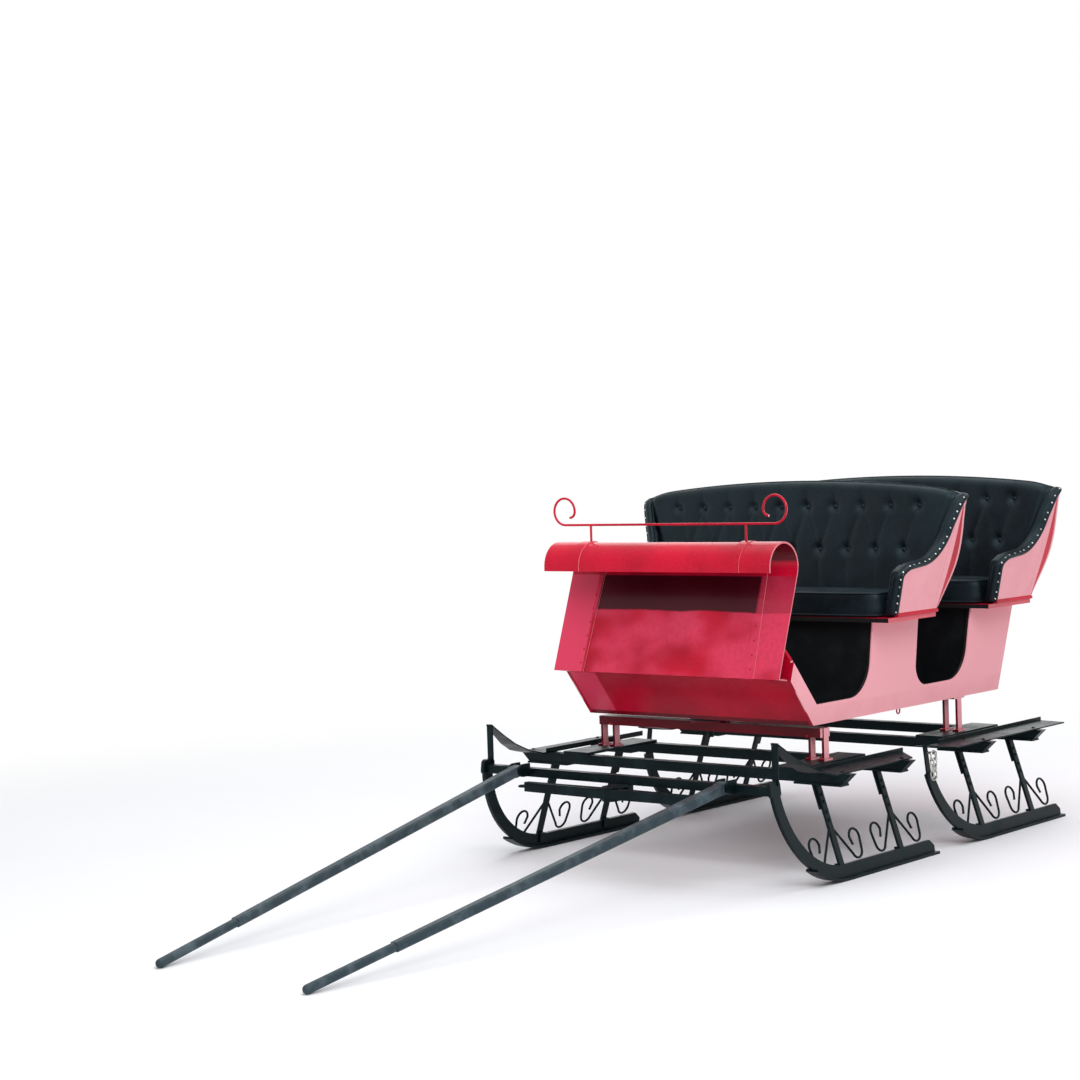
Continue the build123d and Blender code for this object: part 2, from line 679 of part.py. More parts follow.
def king_bolt():
    """Upper turntable plate, and the bolt that goes down through the bolster."""
    plate = Pos(0, 0, floor_z - turn_plate / 2) * Cylinder(turn_r, turn_plate)
    stem_top = floor_z + panel + 10
    stem_low = bolster_top_z - bolster_high - 26
    stem = Pos(0, 0, (stem_top + stem_low) / 2) * Cylinder(king_r, stem_top - stem_low)
    head = Pos(0, 0, stem_top - 5) * Cylinder(2 * king_r, 10)
    return plate + stem + head


def rear_frame():
    """Four posts of the rear bob with the strips that bolt under the floor."""
    left = posts(rear_post_dx, floor_z - strip, floor_z - strip)
    left += block(rear_post_dx - strip_half, rear_post_dx + strip_half, post_in_y - post_wide,
                  post_out_y + post_thick / 2, floor_z - strip, floor_z)
    return left


# Draw gear
def draw_beam():
    """Bar between the runner noses with the shaft brackets and the singletree's clip."""
    lean = math.tan(math.radians(runner_tilt))
    half = knee_foot_y - runner_thick / 2 - lean * (draw_z - shoe) - 2.5
    bar = block(draw_x - draw_bar / 2, draw_x + draw_bar / 2, -half, half, draw_z - draw_bar / 2,
                draw_z + draw_bar / 2)
    gap = shaft_butt / 2 + ear_gap
    for side in (-1, 1):
        for y0 in (gap, -gap - ear):
            low = side * shaft_y + y0
            cheek = block(draw_x, pin_x, low, low + ear, pin_z - ear_r, pin_z + ear_r)
            cheek += Pos(pin_x, low + ear / 2, pin_z) * Rot(90, 0, 0) * Cylinder(ear_r, ear)
            bar += cheek
        pin_long = 2 * (gap + ear)
        bar += Pos(pin_x, side * shaft_y, pin_z) * Rot(90, 0, 0) * Cylinder(shaft_pin_r, pin_long)
    back = draw_x - draw_bar / 2
    low = tree_z - tree_high / 2 - 1 - ear
    high = tree_z + tree_high / 2 + 1
    bar += block(back, draw_x + draw_bar / 2, -30, 30, low, draw_z)
    for z in (low, high):
        bar += block(draw_x, tree_x, -30, 30, z, z + ear)
        bar += Pos(tree_x, 0, z + ear / 2) * Cylinder(30, ear)
    bar += Pos(tree_x, 0, (low + high + ear) / 2) * Cylinder(shaft_pin_r, high + ear - low)
    return bar


def singletree():
    """Bar that the traces hook to, slimmer to its ends, with a hook at each end."""
    mid = tree_high / 2
    plan = polygon((tree_x - 24, -60), (tree_x - 14, -tree_half), (tree_x + 14, -tree_half), (tree_x + 24, -60),
                   (tree_x + 24, 60), (tree_x + 14, tree_half), (tree_x - 14, tree_half), (tree_x - 24, 60))
    bar = Pos(0, 0, tree_z - mid) * extrude(plan, amount=tree_high)
    bar = fillet(bar.edges().filter_by(Axis.Z), 5)
    bar -= Pos(tree_x, 0, tree_z) * Cylinder(shaft_pin_r + pin_play, tree_high + 2)
    for side in (-1, 1):
        ring = Pos(tree_x, side * (tree_half + hook_r - 1), tree_z) * Torus(hook_r, hook_rod)
        bar += ring
    return bar


def draw_shaft():
    """Left shaft lying with its tip on the floor: square from the butt, round towards the tip."""
    heel = Rot(90, 0, 0) * Cylinder(shaft_butt / 2, shaft_butt)
    heel += block(0, shaft_heel, -shaft_butt / 2, shaft_butt / 2, -shaft_butt / 2, shaft_butt / 2)
    heel -= Rot(90, 0, 0) * Cylinder(shaft_pin_r + pin_play, shaft_butt + 10)
    square_end = shaft_long - shaft_heel - shaft_round
    at_heel = Plane((0, 0, 0), z_dir=(1, 0, 0)) * Rectangle(shaft_butt, shaft_butt)
    at_slim = Plane((square_end, 0, 0), z_dir=(1, 0, 0)) * Rectangle(shaft_slim, shaft_slim)
    stick = loft([at_heel, at_slim])
    stick = chamfer(stick.edges().filter_by(lambda e: e.length > square_end / 2), 5)
    round_long = shaft_round - shaft_tip_r
    stick += Pos(square_end + round_long / 2, 0, 0) * Rot(0, 90, 0) * Cylinder(shaft_tip_r, round_long)
    stick += Pos(square_end + round_long, 0, 0) * Sphere(shaft_tip_r)
    toed = Pos(shaft_heel, 0, 0) * Rot(0, 0, -math.degrees(shaft_toe)) * stick
    whole = heel + toed
    return Pos(pin_x, shaft_y, pin_z) * Rot(0, math.degrees(shaft_drop), 0) * whole


# Chain on the left nose of the rear bob
def ring_path(half_x, half_z):
    """Long round loop in the plane of x and z: straight along the longer way, round at its ends."""
    r = min(half_x, half_z)
    side = (half_x - r, half_z - r)
    tall = half_z > half_x
    ends = [(r, side[1]), (-r, side[1]), (-r, -side[1]), (r, -side[1])] if tall else [
        (side[0], r), (-side[0], r), (-side[0], -r), (side[0], -r)]
    tops = ((0, half_z), (0, -half_z)) if tall else ((-half_x, 0), (half_x, 0))
    if tall:
        return Wire([Line(ends[3], ends[0]).edge(), ThreePointArc(ends[0], tops[0], ends[1]).edge(),
                     Line(ends[1], ends[2]).edge(), ThreePointArc(ends[2], tops[1], ends[3]).edge()])
    return Wire([Line(ends[0], ends[1]).edge(), ThreePointArc(ends[1], tops[0], ends[2]).edge(),
                 Line(ends[2], ends[3]).edge(), ThreePointArc(ends[3], tops[1], ends[0]).edge()])


def chain_link(lying):
    """One link about its middle, in the plane of x and z, upright or lying along x."""
    long = link_long / 2 - link_wire
    wide = link_wide / 2 - link_wire
    path = ring_path(long, wide) if lying else ring_path(wide, long)
    start = path.edges()[0] @ 0
    ring = sweep(Plane(start, z_dir=path.edges()[0] % 0) * Circle(link_wire), path=path)
    return Rot(90, 0, 0) * ring


def chain():
    """Bolt through the strap on the rear bob's left nose, its shackle, and links hanging doubled."""
    x = runner_x + (blade_r - runner_deep / 2) * math.sin(math.radians(rear_nose_turn))
    lean = math.tan(math.radians(runner_tilt))
    strap_y = knee_foot_y - lean * (chain_z - shackle_bolt - shoe) + strap_thick / 2 + 0.1
    bolt_long = chain_y + 9 - strap_y
    pieces = [Pos(x, strap_y + bolt_long / 2, chain_z) * Rot(90, 0, 0) * Cylinder(shackle_bolt, bolt_long)]
    pieces[0] += Pos(x, chain_y + 9, chain_z) * Rot(90, 0, 0) * Cylinder(1.7 * shackle_bolt, 4)
    top = chain_z + shackle_bolt + shackle_wire + chain_play
    arc_z = top - shackle_half
    low = arc_z - shackle_leg
    line = Wire([Line((-shackle_half, low), (-shackle_half, arc_z)).edge(),
                 ThreePointArc((-shackle_half, arc_z), (0, top), (shackle_half, arc_z)).edge(),
                 Line((shackle_half, arc_z), (shackle_half, low)).edge()])
    bow = rod(Plane.XZ * line, shackle_wire)
    bow += Pos(0, 0, low) * Rot(0, 90, 0) * Cylinder(shackle_wire, 2 * shackle_half + 12)
    pieces.append(Pos(x, chain_y, 0) * bow)
    inner = link_long / 2 - 2 * link_wire
    pitch = 2 * inner - chain_play
    upright = chain_link(False)
    first = low + shackle_wire + chain_play - inner
    for side in (-1, 1):
        for n in range(strand_links):
            at = Pos(x + side * strand_x, chain_y, first - n * pitch)
            pieces.append(at * Rot(0, 0, 90 if n % 2 == 0 else 0) * upright)
    last = first - (strand_links - 1) * pitch
    join_z = last - inner + link_wire + chain_play - (link_wide / 2 - link_wire)
    pieces.append(Pos(x, chain_y, join_z) * chain_link(True))
    return pieces


# Body
save("body_side_left", body_side() + ring_eye())
save("body_side_right", mirror(body_side(), about=Plane.XZ))
save("body_floor", body_floor())
save("toe_panel", toe_panel())
save("rear_panel", rear_panel())
save("dash", dash())
save("dash_rail", dash_rail())

# Seats, front and rear
left_arm = arm_pads()
right_arm = mirror(left_arm, about=Plane.XZ)
for seat, dx in (("front", 0.0), ("rear", -seat_pitch)):
    at = Pos(dx, 0, 0)
    save(f"{seat}_seat_riser", seat_riser(dx))
    save(f"{seat}_seat_deck", at * seat_deck())
    save(f"{seat}_seat_shell", at * seat_shell())
    save(f"{seat}_seat_back_pad", at * back_cushion())
    save(f"{seat}_seat_arm_left", at * left_arm)
    save(f"{seat}_seat_arm_right", at * right_arm)
    save(f"{seat}_seat_cushion", at * seat_cushion())

# Both bobs
for bob, dx in (("front", 0.0), ("rear", -bob_pitch)):
    at = Pos(dx, 0, 0)
    is_front = bob == "front"
    save(f"{bob}_beams", *[at * Pos(x, 0, 0) * cross_beam() for x in (knee_x, -knee_x)])
    left_runner = runner(is_front)
    both(f"{bob}_runner", at * left_runner)
    both(f"{bob}_knees", at * (knees() - left_runner))
    both(f"{bob}_step_board", at * (step_board(is_front) - left_runner))
    both(f"{bob}_side_plate", at * side_plates())
save("front_bolster", front_bolster())
save("king_bolt", king_bolt())
both("rear_posts", Pos(-bob_pitch, 0, 0) * rear_frame())
save("rear_chain", *[Pos(-bob_pitch, 0, 0) * piece for piece in chain()])

# Draw gear
save("draw_bar", draw_beam())
both("shaft", draw_shaft())
save("singletree", singletree())
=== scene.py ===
import bpy
import bmesh
import math
import random
from mathutils import Vector, Matrix, noise


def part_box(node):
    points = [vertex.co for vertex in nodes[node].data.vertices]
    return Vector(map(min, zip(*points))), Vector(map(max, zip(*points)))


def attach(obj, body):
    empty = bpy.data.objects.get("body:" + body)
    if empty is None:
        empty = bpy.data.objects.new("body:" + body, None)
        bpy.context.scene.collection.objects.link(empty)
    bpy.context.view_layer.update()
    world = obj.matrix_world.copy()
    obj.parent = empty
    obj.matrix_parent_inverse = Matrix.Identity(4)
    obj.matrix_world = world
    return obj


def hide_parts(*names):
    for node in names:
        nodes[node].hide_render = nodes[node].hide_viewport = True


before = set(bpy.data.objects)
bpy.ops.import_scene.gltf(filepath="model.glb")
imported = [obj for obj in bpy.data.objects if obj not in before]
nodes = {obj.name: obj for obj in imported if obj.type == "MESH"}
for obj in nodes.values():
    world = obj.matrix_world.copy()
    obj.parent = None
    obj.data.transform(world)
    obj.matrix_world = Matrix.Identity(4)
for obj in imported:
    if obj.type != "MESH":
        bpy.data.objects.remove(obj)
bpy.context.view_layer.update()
MM = 0.001
rnd = random.Random(7)


# Sizes shared with the part, in millimetres, X from the king bolt
bolt_lo, bolt_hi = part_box("king_bolt")
FX = 0.5 * (bolt_lo.x + bolt_hi.x)   # the king bolt's place in the row frame, in metres
DECK_Z = 889.0                       # top of the seat boards
BODY_HALF = 517.0                    # outer face of a side panel
SILL_Z = 600.0                       # bottom of the door notches
PITCH = 751.0                        # front seat to rear seat
BOB_PITCH = 1002.0
KNEE_X = 201.0
SEAT_HALF = 618.0                    # outer face of a wing at the seat board
FLARE = 0.330                        # a wing leans out this much for each unit of rise
SHELL = 14.0
SEAT_FRONT = -348.0                  # front edge of a wing at the seat board
WING_LEAN = 0.217
ARM_Z = 1050.0                       # top of a wing at its front
ARM_NOSE = (-38.0, 23.8)             # from there, back and up along the arm rest
ARM_END_X = -455.0
ARM_RISE = 34.0
SWEEP = ((-548.0, 80.0), (-588.0, 168.0))     # x, and height above the wing's front
NECK = (-612.0, 240.0)
HEAD = ((-630.0, 272.0), (-668.0, 290.0))
PAD_PROUD = 12.0                     # upholstery above the shell's edge
BACK_FOOT = -556.0                   # front face of the upholstered back at the seat board
PAD_LEAN = 0.105
BACK_REAR = -634.0                   # its flat rear
BACK_END_Z = 1345.0                  # top of the shell's back at its ends
BACK_MID_Z = 1390.0                  # and in the middle
BACK_END_Y = 740.0
BELLY_Z = 1095.0                     # where the tub is widest
TUB_TOP = 1426.0
TUB_STEPS = 6                        # straight steps that make up each part of the tub's swell
CORNER_R = (20.0, 116.0, 24.0)       # a rear corner's radius at foot, belly and head
TUB_X = (-644.0, -742.0, -652.0)     # outer face of the back at foot, belly and head
DASH_FOOT_Z = 712.0
DASH_TOP_Z = 1199.0
RIB_FOOT_Y = 391.0                   # middle of a raised band at the dash's foot
RIB_TOP_Y = 367.0                    # and at the roll
POST_Y = (455.0, 513.0)              # bolts either side of a post
POST_OFF = (-21.0, 21.0)


def at(x, y, z):
    """A point of the part's working frame, in metres of the row frame."""
    return Vector((FX + x * MM, y * MM, z * MM))


# Materials
def new_material(name):
    """New material, its node tree and its main shader."""
    mat = bpy.data.materials.new(name)
    mat.use_nodes = True
    tree = mat.node_tree
    return mat, tree, tree.nodes["Principled BSDF"]


def rgb(r, g, b):
    """Linear colour from display values out of 255."""
    def lin(c):
        c /= 255
        return c / 12.92 if c <= 0.04045 else ((c + 0.055) / 1.055) ** 2.4
    return (lin(r), lin(g), lin(b), 1.0)


class Net:
    """Short ways to add nodes to a material."""
    def __init__(self, tree):
        self.tree = tree

    def add(self, kind, **values):
        n = self.tree.nodes.new(kind)
        for k, v in values.items():
            setattr(n, k, v)
        return n

    def link(self, a, b):
        self.tree.links.new(a, b)

    def put(self, socket, value):
        if isinstance(value, bpy.types.NodeSocket):
            self.link(value, socket)
        else:
            socket.default_value = value

    def math(self, op, a, b=0.0):
        n = self.add("ShaderNodeMath", operation=op)
        self.put(n.inputs[0], a)
        self.put(n.inputs[1], b)
        return n.outputs[0]

    def times(self, first, *others):
        """All the values multiplied."""
        for other in others:
            first = self.math("MULTIPLY", first, other)
        return first

    def minus(self, a, b):
        return self.math("SUBTRACT", a, b)

    def most(self, a, b):
        return self.math("MAXIMUM", a, b)

    def size(self, value):
        return self.math("ABSOLUTE", value)

    def ramp(self, value, lo, hi, out_lo=0.0, out_hi=1.0, curve="SMOOTHSTEP"):
        """Value mapped from lo and hi to out_lo and out_hi, and held beyond both ends."""
        n = self.add("ShaderNodeMapRange", interpolation_type=curve)
        for i, v in enumerate((value, lo, hi, out_lo, out_hi)):
            self.put(n.inputs[i], v)
        return n.outputs[0]

    def mix(self, fac, a, b):
        n = self.add("ShaderNodeMix", data_type="RGBA")
        self.put(n.inputs["Factor"], fac)
        self.put(n.inputs[6], a)
        self.put(n.inputs[7], b)
        return n.outputs[2]

    def noise(self, scale, detail=3.0, rough=0.55, stretch=(1, 1, 1)):
        coord = self.add("ShaderNodeTexCoord")
        mapping = self.add("ShaderNodeMapping")
        self.link(coord.outputs["Object"], mapping.inputs["Vector"])
        mapping.inputs["Scale"].default_value = stretch
        n = self.add("ShaderNodeTexNoise")
        self.link(mapping.outputs[0], n.inputs["Vector"])
        n.inputs["Scale"].default_value = scale
        n.inputs["Detail"].default_value = detail
        n.inputs["Roughness"].default_value = rough
        return n.outputs[0]

    def cells(self, scale):
        coord = self.add("ShaderNodeTexCoord")
        n = self.add("ShaderNodeTexVoronoi", feature="F1")
        self.link(coord.outputs["Object"], n.inputs["Vector"])
        n.inputs["Scale"].default_value = scale
        return n.outputs["Distance"]

    def split(self, kind):
        """The object-space Normal, or position (Object), as its three parts."""
        coord = self.add("ShaderNodeTexCoord")
        parts = self.add("ShaderNodeSeparateXYZ")
        self.link(coord.outputs[kind], parts.inputs[0])
        return parts.outputs

    def bump(self, height, strength, distance):
        n = self.add("ShaderNodeBump")
        n.inputs["Strength"].default_value = strength
        n.inputs["Distance"].default_value = distance
        self.link(height, n.inputs["Height"])
        return n.outputs[0]


CRIMSON = rgb(204, 12, 48)
DEEP = rgb(166, 6, 36)
# Painted highlight colour, for the dash's light patches and its right-hand strip
PAINTED_HIGHLIGHT = rgb(226, 66, 98)
# Painted shade colour
SHADE_MAROON = rgb(50, 3, 14)
# Painted reflection: the pale pink that upright side faces turn
PAINTED_REFLECTION = rgb(243, 170, 178)
SPECK = rgb(232, 120, 136)
INK = rgb(14, 14, 16)
INK_WORN = rgb(26, 25, 27)


def red_paint(name, inside=None, plain=None, rim=None, shade=None, highlight=None):
    """Crimson coach paint with a painted pale pink reflection on upright side faces.
    inside says which faces are black, plain which keep less of the painted reflection, rim which edges get
    a painted pale highlight, shade which get painted shade and highlight which get painted highlight
    patches."""
    mat, tree, bsdf = new_material(name)
    net = Net(tree)
    n = net.split("Normal")
    p = net.split("Object")
    base = net.mix(net.ramp(net.noise(2.6, 4.0), 0.35, 0.7), CRIMSON, DEEP)
    base = net.mix(net.ramp(net.noise(260.0, 2.0), 0.62, 0.74, 0.0, 0.28), base, SPECK)
    # Painted reflection: upright faces that look sideways turn pale pink, in patches
    side = net.ramp(net.size(n[1]), 0.82, 0.90)
    turned = net.ramp(net.size(n[0]), 0.07, 0.15)
    reflection_strength = net.ramp(net.noise(9.0, 5.0, 0.6), 0.2, 0.8, 0.88, 1.0)
    painted_reflection = net.times(side, net.minus(1.0, turned), reflection_strength)
    if plain is not None:
        painted_reflection = net.times(painted_reflection, net.minus(1.0, plain(net, n, p)))
    if rim is not None:
        painted_reflection = net.most(painted_reflection, rim(net, n, p))
    # Painted highlights: light patches mixed into the paint
    if highlight is not None:
        base = net.mix(highlight(net, n, p), base, PAINTED_HIGHLIGHT)
    # Painted shade: dark maroon mixed into the paint
    if shade is not None:
        base = net.mix(shade(net, n, p), base, SHADE_MAROON)
    colour = net.mix(painted_reflection, base, PAINTED_REFLECTION)
    rough = net.math("ADD", net.times(painted_reflection, 0.3), 0.28)
    if inside is not None:
        hidden = inside(net, n, p)
        colour = net.mix(hidden, colour, net.mix(net.noise(40.0, 3.0), INK, INK_WORN))
        rough = net.most(rough, net.times(hidden, 0.7))
    net.put(bsdf.inputs["Base Color"], colour)
    net.put(bsdf.inputs["Roughness"], rough)
    net.put(bsdf.inputs["Normal"], net.bump(net.noise(90.0, 3.0), 0.05, 0.001))
    bsdf.inputs["Specular IOR Level"].default_value = 0.14
    bsdf.inputs["Coat Weight"].default_value = 0.08
    bsdf.inputs["Coat Roughness"].default_value = 0.12
    return mat


# Where the paint changes, and where its painted reflection, highlights and shade lie: each function gives
# a share from 0 to 1 from a net, a normal and a place
def everywhere(amount):
    """The same share all over."""
    return lambda net, n, p: amount


def facing(axis, sign):
    """Faces that look along an axis, either way."""
    return lambda net, n, p: net.ramp(net.times(n[axis], sign), 0.25, 0.5)


RIM_OUTER = (BODY_HALF - 4) * MM     # the door notches' painted pale highlight lies outside this
RIM_INNER = (BODY_HALF - 6) * MM


def by_the_doors(net, p, front):
    """Above the sills' foot and behind a place, in metres ahead of the king bolt."""
    above = net.ramp(p[2], (SILL_Z - 25) * MM, (SILL_Z - 10) * MM)
    behind = net.ramp(p[0], FX + front + 0.01, FX + front)
    return net.times(above, behind)


def to_the_middle(net, n, p):
    """Inner faces of the two sides, and their edges but for the outer few millimetres."""
    inward = net.ramp(net.times(n[1], net.math("SIGN", p[1])), 0.3, 0.1)
    deep = net.ramp(net.size(p[1]), RIM_OUTER, RIM_INNER)
    return net.times(inward, deep, by_the_doors(net, p, 0.075))


def door_highlight(net, n, p):
    """Painted pale highlight on the outer few millimetres of the door notches' edges."""
    outer = net.ramp(net.size(p[1]), RIM_INNER, RIM_OUTER)
    return net.times(outer, by_the_doors(net, p, 0.18))


def foot_strip(net, n, p):
    """The strip along a seat's foot."""
    return net.ramp(p[2], (DECK_Z + 17) * MM, (DECK_Z + 15) * MM)


def below_roll(net, p):
    """Below the free edge of the dash's roll."""
    return net.ramp(p[2], 1.075, 1.068)


def dash_front(net, n, p):
    """The dash's face ahead, below the roll."""
    return net.times(net.ramp(n[0], 0.5, 0.8), below_roll(net, p))


BAND_Z = (0.938, 0.946)              # lower edge of the painted dark band, the roll's shadow and dark reflection
BAND_WANDER = 0.02
BAND_RIGHT = (0.411, 0.0493)         # its right end at the floor, and how that leans in with height
BAND_LEFT = (0.366, 0.378)
UNDERSIDE_SHADE_X = (0.318, 0.312)            # the painted shade on the roll's underside ends here, ahead of the king bolt


def under_roll(net, n, p):
    """Painted shade: the roll's shadow and dark reflection on the dash's face under it, down to an uneven
    line between the ribs, and painted shade on the roll's underside.
    """
    wander = net.times(net.minus(net.noise(5.0, 2.0), 0.5), BAND_WANDER)
    band = net.times(net.ramp(net.math("ADD", p[2], wander), *BAND_Z, 0.0, 0.95), dash_front(net, n, p))
    right_end = net.minus(BAND_RIGHT[0], net.times(p[2], BAND_RIGHT[1]))
    inside_right = net.ramp(net.math("ADD", p[1], right_end), -0.004, 0.004)
    inside_left = net.ramp(p[1], *BAND_LEFT, 1.0, 0.4)
    band = net.times(band, inside_right, inside_left)
    underside_shade = net.times(net.ramp(n[2], -0.1, -0.3, 0.0, 0.85), net.ramp(p[2], 1.052, 1.066))
    behind_lip = net.ramp(p[0], FX + UNDERSIDE_SHADE_X[0], FX + UNDERSIDE_SHADE_X[1])
    return net.most(band, net.times(underside_shade, behind_lip))


def highlight_patches(net, n, p):
    """Painted highlights: cloudy light patches on the dash's face, with darker valleys between them."""
    patch = net.ramp(net.noise(3.4, 2.0, 0.5, (1.0, 1.0, 1.5)), 0.36, 0.62, 0.0, 0.8)
    fine = net.ramp(net.noise(70.0, 3.0, 0.6), 0.3, 0.7, 0.75, 1.0)
    return net.times(patch, fine, dash_front(net, n, p))


STRIP_Y = (-0.372, -0.384)           # inner edge of the painted highlight strip at the right


def outboard(net, n, p):
    """The painted highlight strip along the dash's and the toe's right edge."""
    strip = net.times(net.ramp(p[1], *STRIP_Y, 0.0, 0.9), net.ramp(n[0], 0.4, 0.6))
    return net.times(strip, below_roll(net, p))


def dash_highlights(net, n, p):
    """The painted highlight patches and the painted highlight strip together."""
    return net.most(highlight_patches(net, n, p), outboard(net, n, p))


def shade_below_body(net, n, p):
    """Painted shade on the bolster's and posts' faces: darker than the body above, most so where they are
    upright.
    """
    return net.ramp(n[2], 0.9, 0.6, 0.45, 0.78)


def toe_shade(net, n, p):
    """Slight painted shade on the toe's downward faces below the dash's lip, beside the painted highlight
    strip.
    """
    return net.times(net.ramp(p[1], STRIP_Y[1], STRIP_Y[0], 0.0, 0.06), net.ramp(n[2], 0.1, -0.1))


CRESCENT_X = 0.624                   # the crescent's ends, behind the king bolt
CRESCENT_BOW = 0.051
CRESCENT_WIDE = 0.036
CRESCENT_HIGH = 400.0
BETWEEN_SEATS_X = 0.95


def crescent(net, n, p):
    """A seat's foot strip, and the crimson crescent ahead of its rear corners, widest at mid-height."""
    rear = net.times(net.math("LESS_THAN", p[0], FX - BETWEEN_SEATS_X), PITCH * MM)
    x = net.math("ADD", p[0], rear)
    part = net.ramp(p[2], DECK_Z * MM, (DECK_Z + CRESCENT_HIGH) * MM, 0.0, math.pi, "LINEAR")
    full = net.math("SINE", part)
    rear_edge = net.minus(FX - CRESCENT_X, net.times(full, CRESCENT_BOW))
    ahead = net.minus(net.minus(x, rear_edge), net.times(full, CRESCENT_WIDE))
    return net.most(net.ramp(ahead, 0.003, -0.002), foot_strip(net, n, p))


def top_edge(net, n, p):
    """The upper edge of a seat's back, where the upholstery wraps over it."""
    return net.times(net.ramp(n[2], 0.5, 0.7), net.ramp(p[2], 1.295, 1.305))


def corner_highlight(net, n, p):
    """Painted pale highlight: the band round a seat's rear corner, next to the crescent, and on the
    corner's head.
    """
    turned = net.times(net.ramp(n[0], -0.06, -0.11), net.ramp(n[0], -0.74, -0.66))
    upright = net.ramp(net.size(n[2]), 0.6, 0.4)
    low = net.ramp(p[2], (DECK_Z + 19) * MM, (DECK_Z + 30) * MM)
    wing = net.math("ADD", net.times(net.minus(p[2], DECK_Z * MM), FLARE), SEAT_HALF * MM)
    depth = net.minus(wing, net.size(p[1]))
    head = net.times(net.ramp(p[2], 1.285, 1.305), net.ramp(depth, 0.017, 0.012))
    head = net.times(head, net.ramp(n[0], -0.94, -0.8))
    return net.most(net.times(turned, upright, low), head)


def steel_paint(name, dark, light, rough=0.34):
    """Black or grey paint on steel, worn in patches, with a little dust on level faces."""
    mat, tree, bsdf = new_material(name)
    net = Net(tree)
    wear = net.ramp(net.noise(14.0, 5.0, 0.6), 0.42, 0.75)
    level = net.ramp(net.split("Normal")[2], 0.6, 0.95)
    dust = net.times(level, net.ramp(net.noise(55.0, 5.0), 0.4, 0.8, 0.0, 0.07))
    net.put(bsdf.inputs["Base Color"], net.mix(dust, net.mix(wear, dark, light), rgb(170, 178, 182)))
    net.put(bsdf.inputs["Roughness"], net.math("ADD", net.times(wear, 0.18), rough))
    net.put(bsdf.inputs["Normal"], net.bump(net.noise(220.0, 3.0), 0.12, 0.001))
    bsdf.inputs["Specular IOR Level"].default_value = 0.17
    bsdf.inputs["Specular Tint"].default_value = rgb(205, 236, 240)
    return mat


def vinyl(name):
    """Black leathercloth with a fine grain and light specks painted as glints on the grain."""
    mat, tree, bsdf = new_material(name)
    net = Net(tree)
    tone = net.mix(net.ramp(net.noise(6.0, 4.0), 0.3, 0.7), rgb(5, 12, 16), rgb(14, 25, 31))
    # Painted glints: light specks on the grain
    glints = net.ramp(net.noise(310.0, 3.0, 0.65), 0.55, 0.75, 0.0, 0.5)
    net.put(bsdf.inputs["Base Color"], net.mix(glints, tone, rgb(56, 74, 82)))
    net.put(bsdf.inputs["Roughness"], net.ramp(net.noise(12.0, 3.0), 0.3, 0.7, 0.38, 0.52))
    height = net.math("ADD", net.cells(420.0), net.times(net.noise(900.0, 2.0), 0.4))
    net.put(bsdf.inputs["Normal"], net.bump(height, 0.35, 0.0007))
    bsdf.inputs["Sheen Weight"].default_value = 0.04
    bsdf.inputs["Sheen Roughness"].default_value = 0.4
    bsdf.inputs["Sheen Tint"].default_value = rgb(150, 190, 205)
    bsdf.inputs["Specular IOR Level"].default_value = 0.3
    bsdf.inputs["Specular Tint"].default_value = rgb(196, 226, 236)
    return mat


def bright_metal(name, colour, rough=0.22):
    """Bare metal with duller patches."""
    mat, tree, bsdf = new_material(name)
    net = Net(tree)
    tone = net.mix(net.ramp(net.noise(60.0, 4.0), 0.4, 0.7), colour, rgb(120, 118, 114))
    net.put(bsdf.inputs["Base Color"], tone)
    net.put(bsdf.inputs["Roughness"], net.ramp(net.noise(90.0, 3.0), 0.3, 0.7, rough, rough + 0.15))
    bsdf.inputs["Metallic"].default_value = 1.0
    return mat


FORWARD = facing(0, 1)
RED = red_paint("red_paint")
RED_SHELL = red_paint("red_shell", top_edge, plain=crescent, rim=corner_highlight)
RED_DECK = red_paint("red_deck", FORWARD, plain=everywhere(0.72))
RED_SIDE = red_paint("red_side", to_the_middle, rim=door_highlight)
RED_DASH = red_paint("red_dash", plain=everywhere(0.5), shade=under_roll, highlight=dash_highlights)
# Painted shade: the floor's underside and edges are mixed toward dark maroon all over
RED_FLOOR = red_paint("red_floor", facing(2, 1), shade=everywhere(0.72))
RED_BEAM = red_paint("red_beam", shade=shade_below_body)
RED_TOE = red_paint("red_toe", facing(0, -1), shade=toe_shade, highlight=outboard)
RED_REAR = red_paint("red_rear", FORWARD)
BLACK_PANEL = steel_paint("inner_black", rgb(15, 16, 18), rgb(25, 26, 29), 0.6)
BLACK = steel_paint("black_steel", rgb(3, 12, 15), rgb(14, 29, 33))
GREY = steel_paint("grey_paint", rgb(50, 61, 67), rgb(82, 94, 100), 0.42)
VINYL = vinyl("black_vinyl")
BRIGHT = bright_metal("bright_steel", rgb(205, 204, 200))

looks = {
    "body_side_left": RED_SIDE, "body_side_right": RED_SIDE, "toe_panel": RED_TOE, "rear_panel": RED_REAR,
    "body_floor": RED_FLOOR, "front_seat_riser": BLACK_PANEL, "rear_seat_riser": BLACK_PANEL,
    "dash": RED_DASH, "front_seat_shell": RED_SHELL, "rear_seat_shell": RED_SHELL, "dash_rail": RED,
    "front_seat_deck": RED_DECK, "rear_seat_deck": RED_DECK, "front_bolster": RED_BEAM,
    "rear_posts_left": RED_BEAM, "rear_posts_right": RED_BEAM, "shaft_left": GREY, "shaft_right": GREY,
    "rear_chain": BRIGHT,
}
for name, obj in nodes.items():
    obj.data.materials.clear()
    obj.data.materials.append(looks.get(name, BLACK))


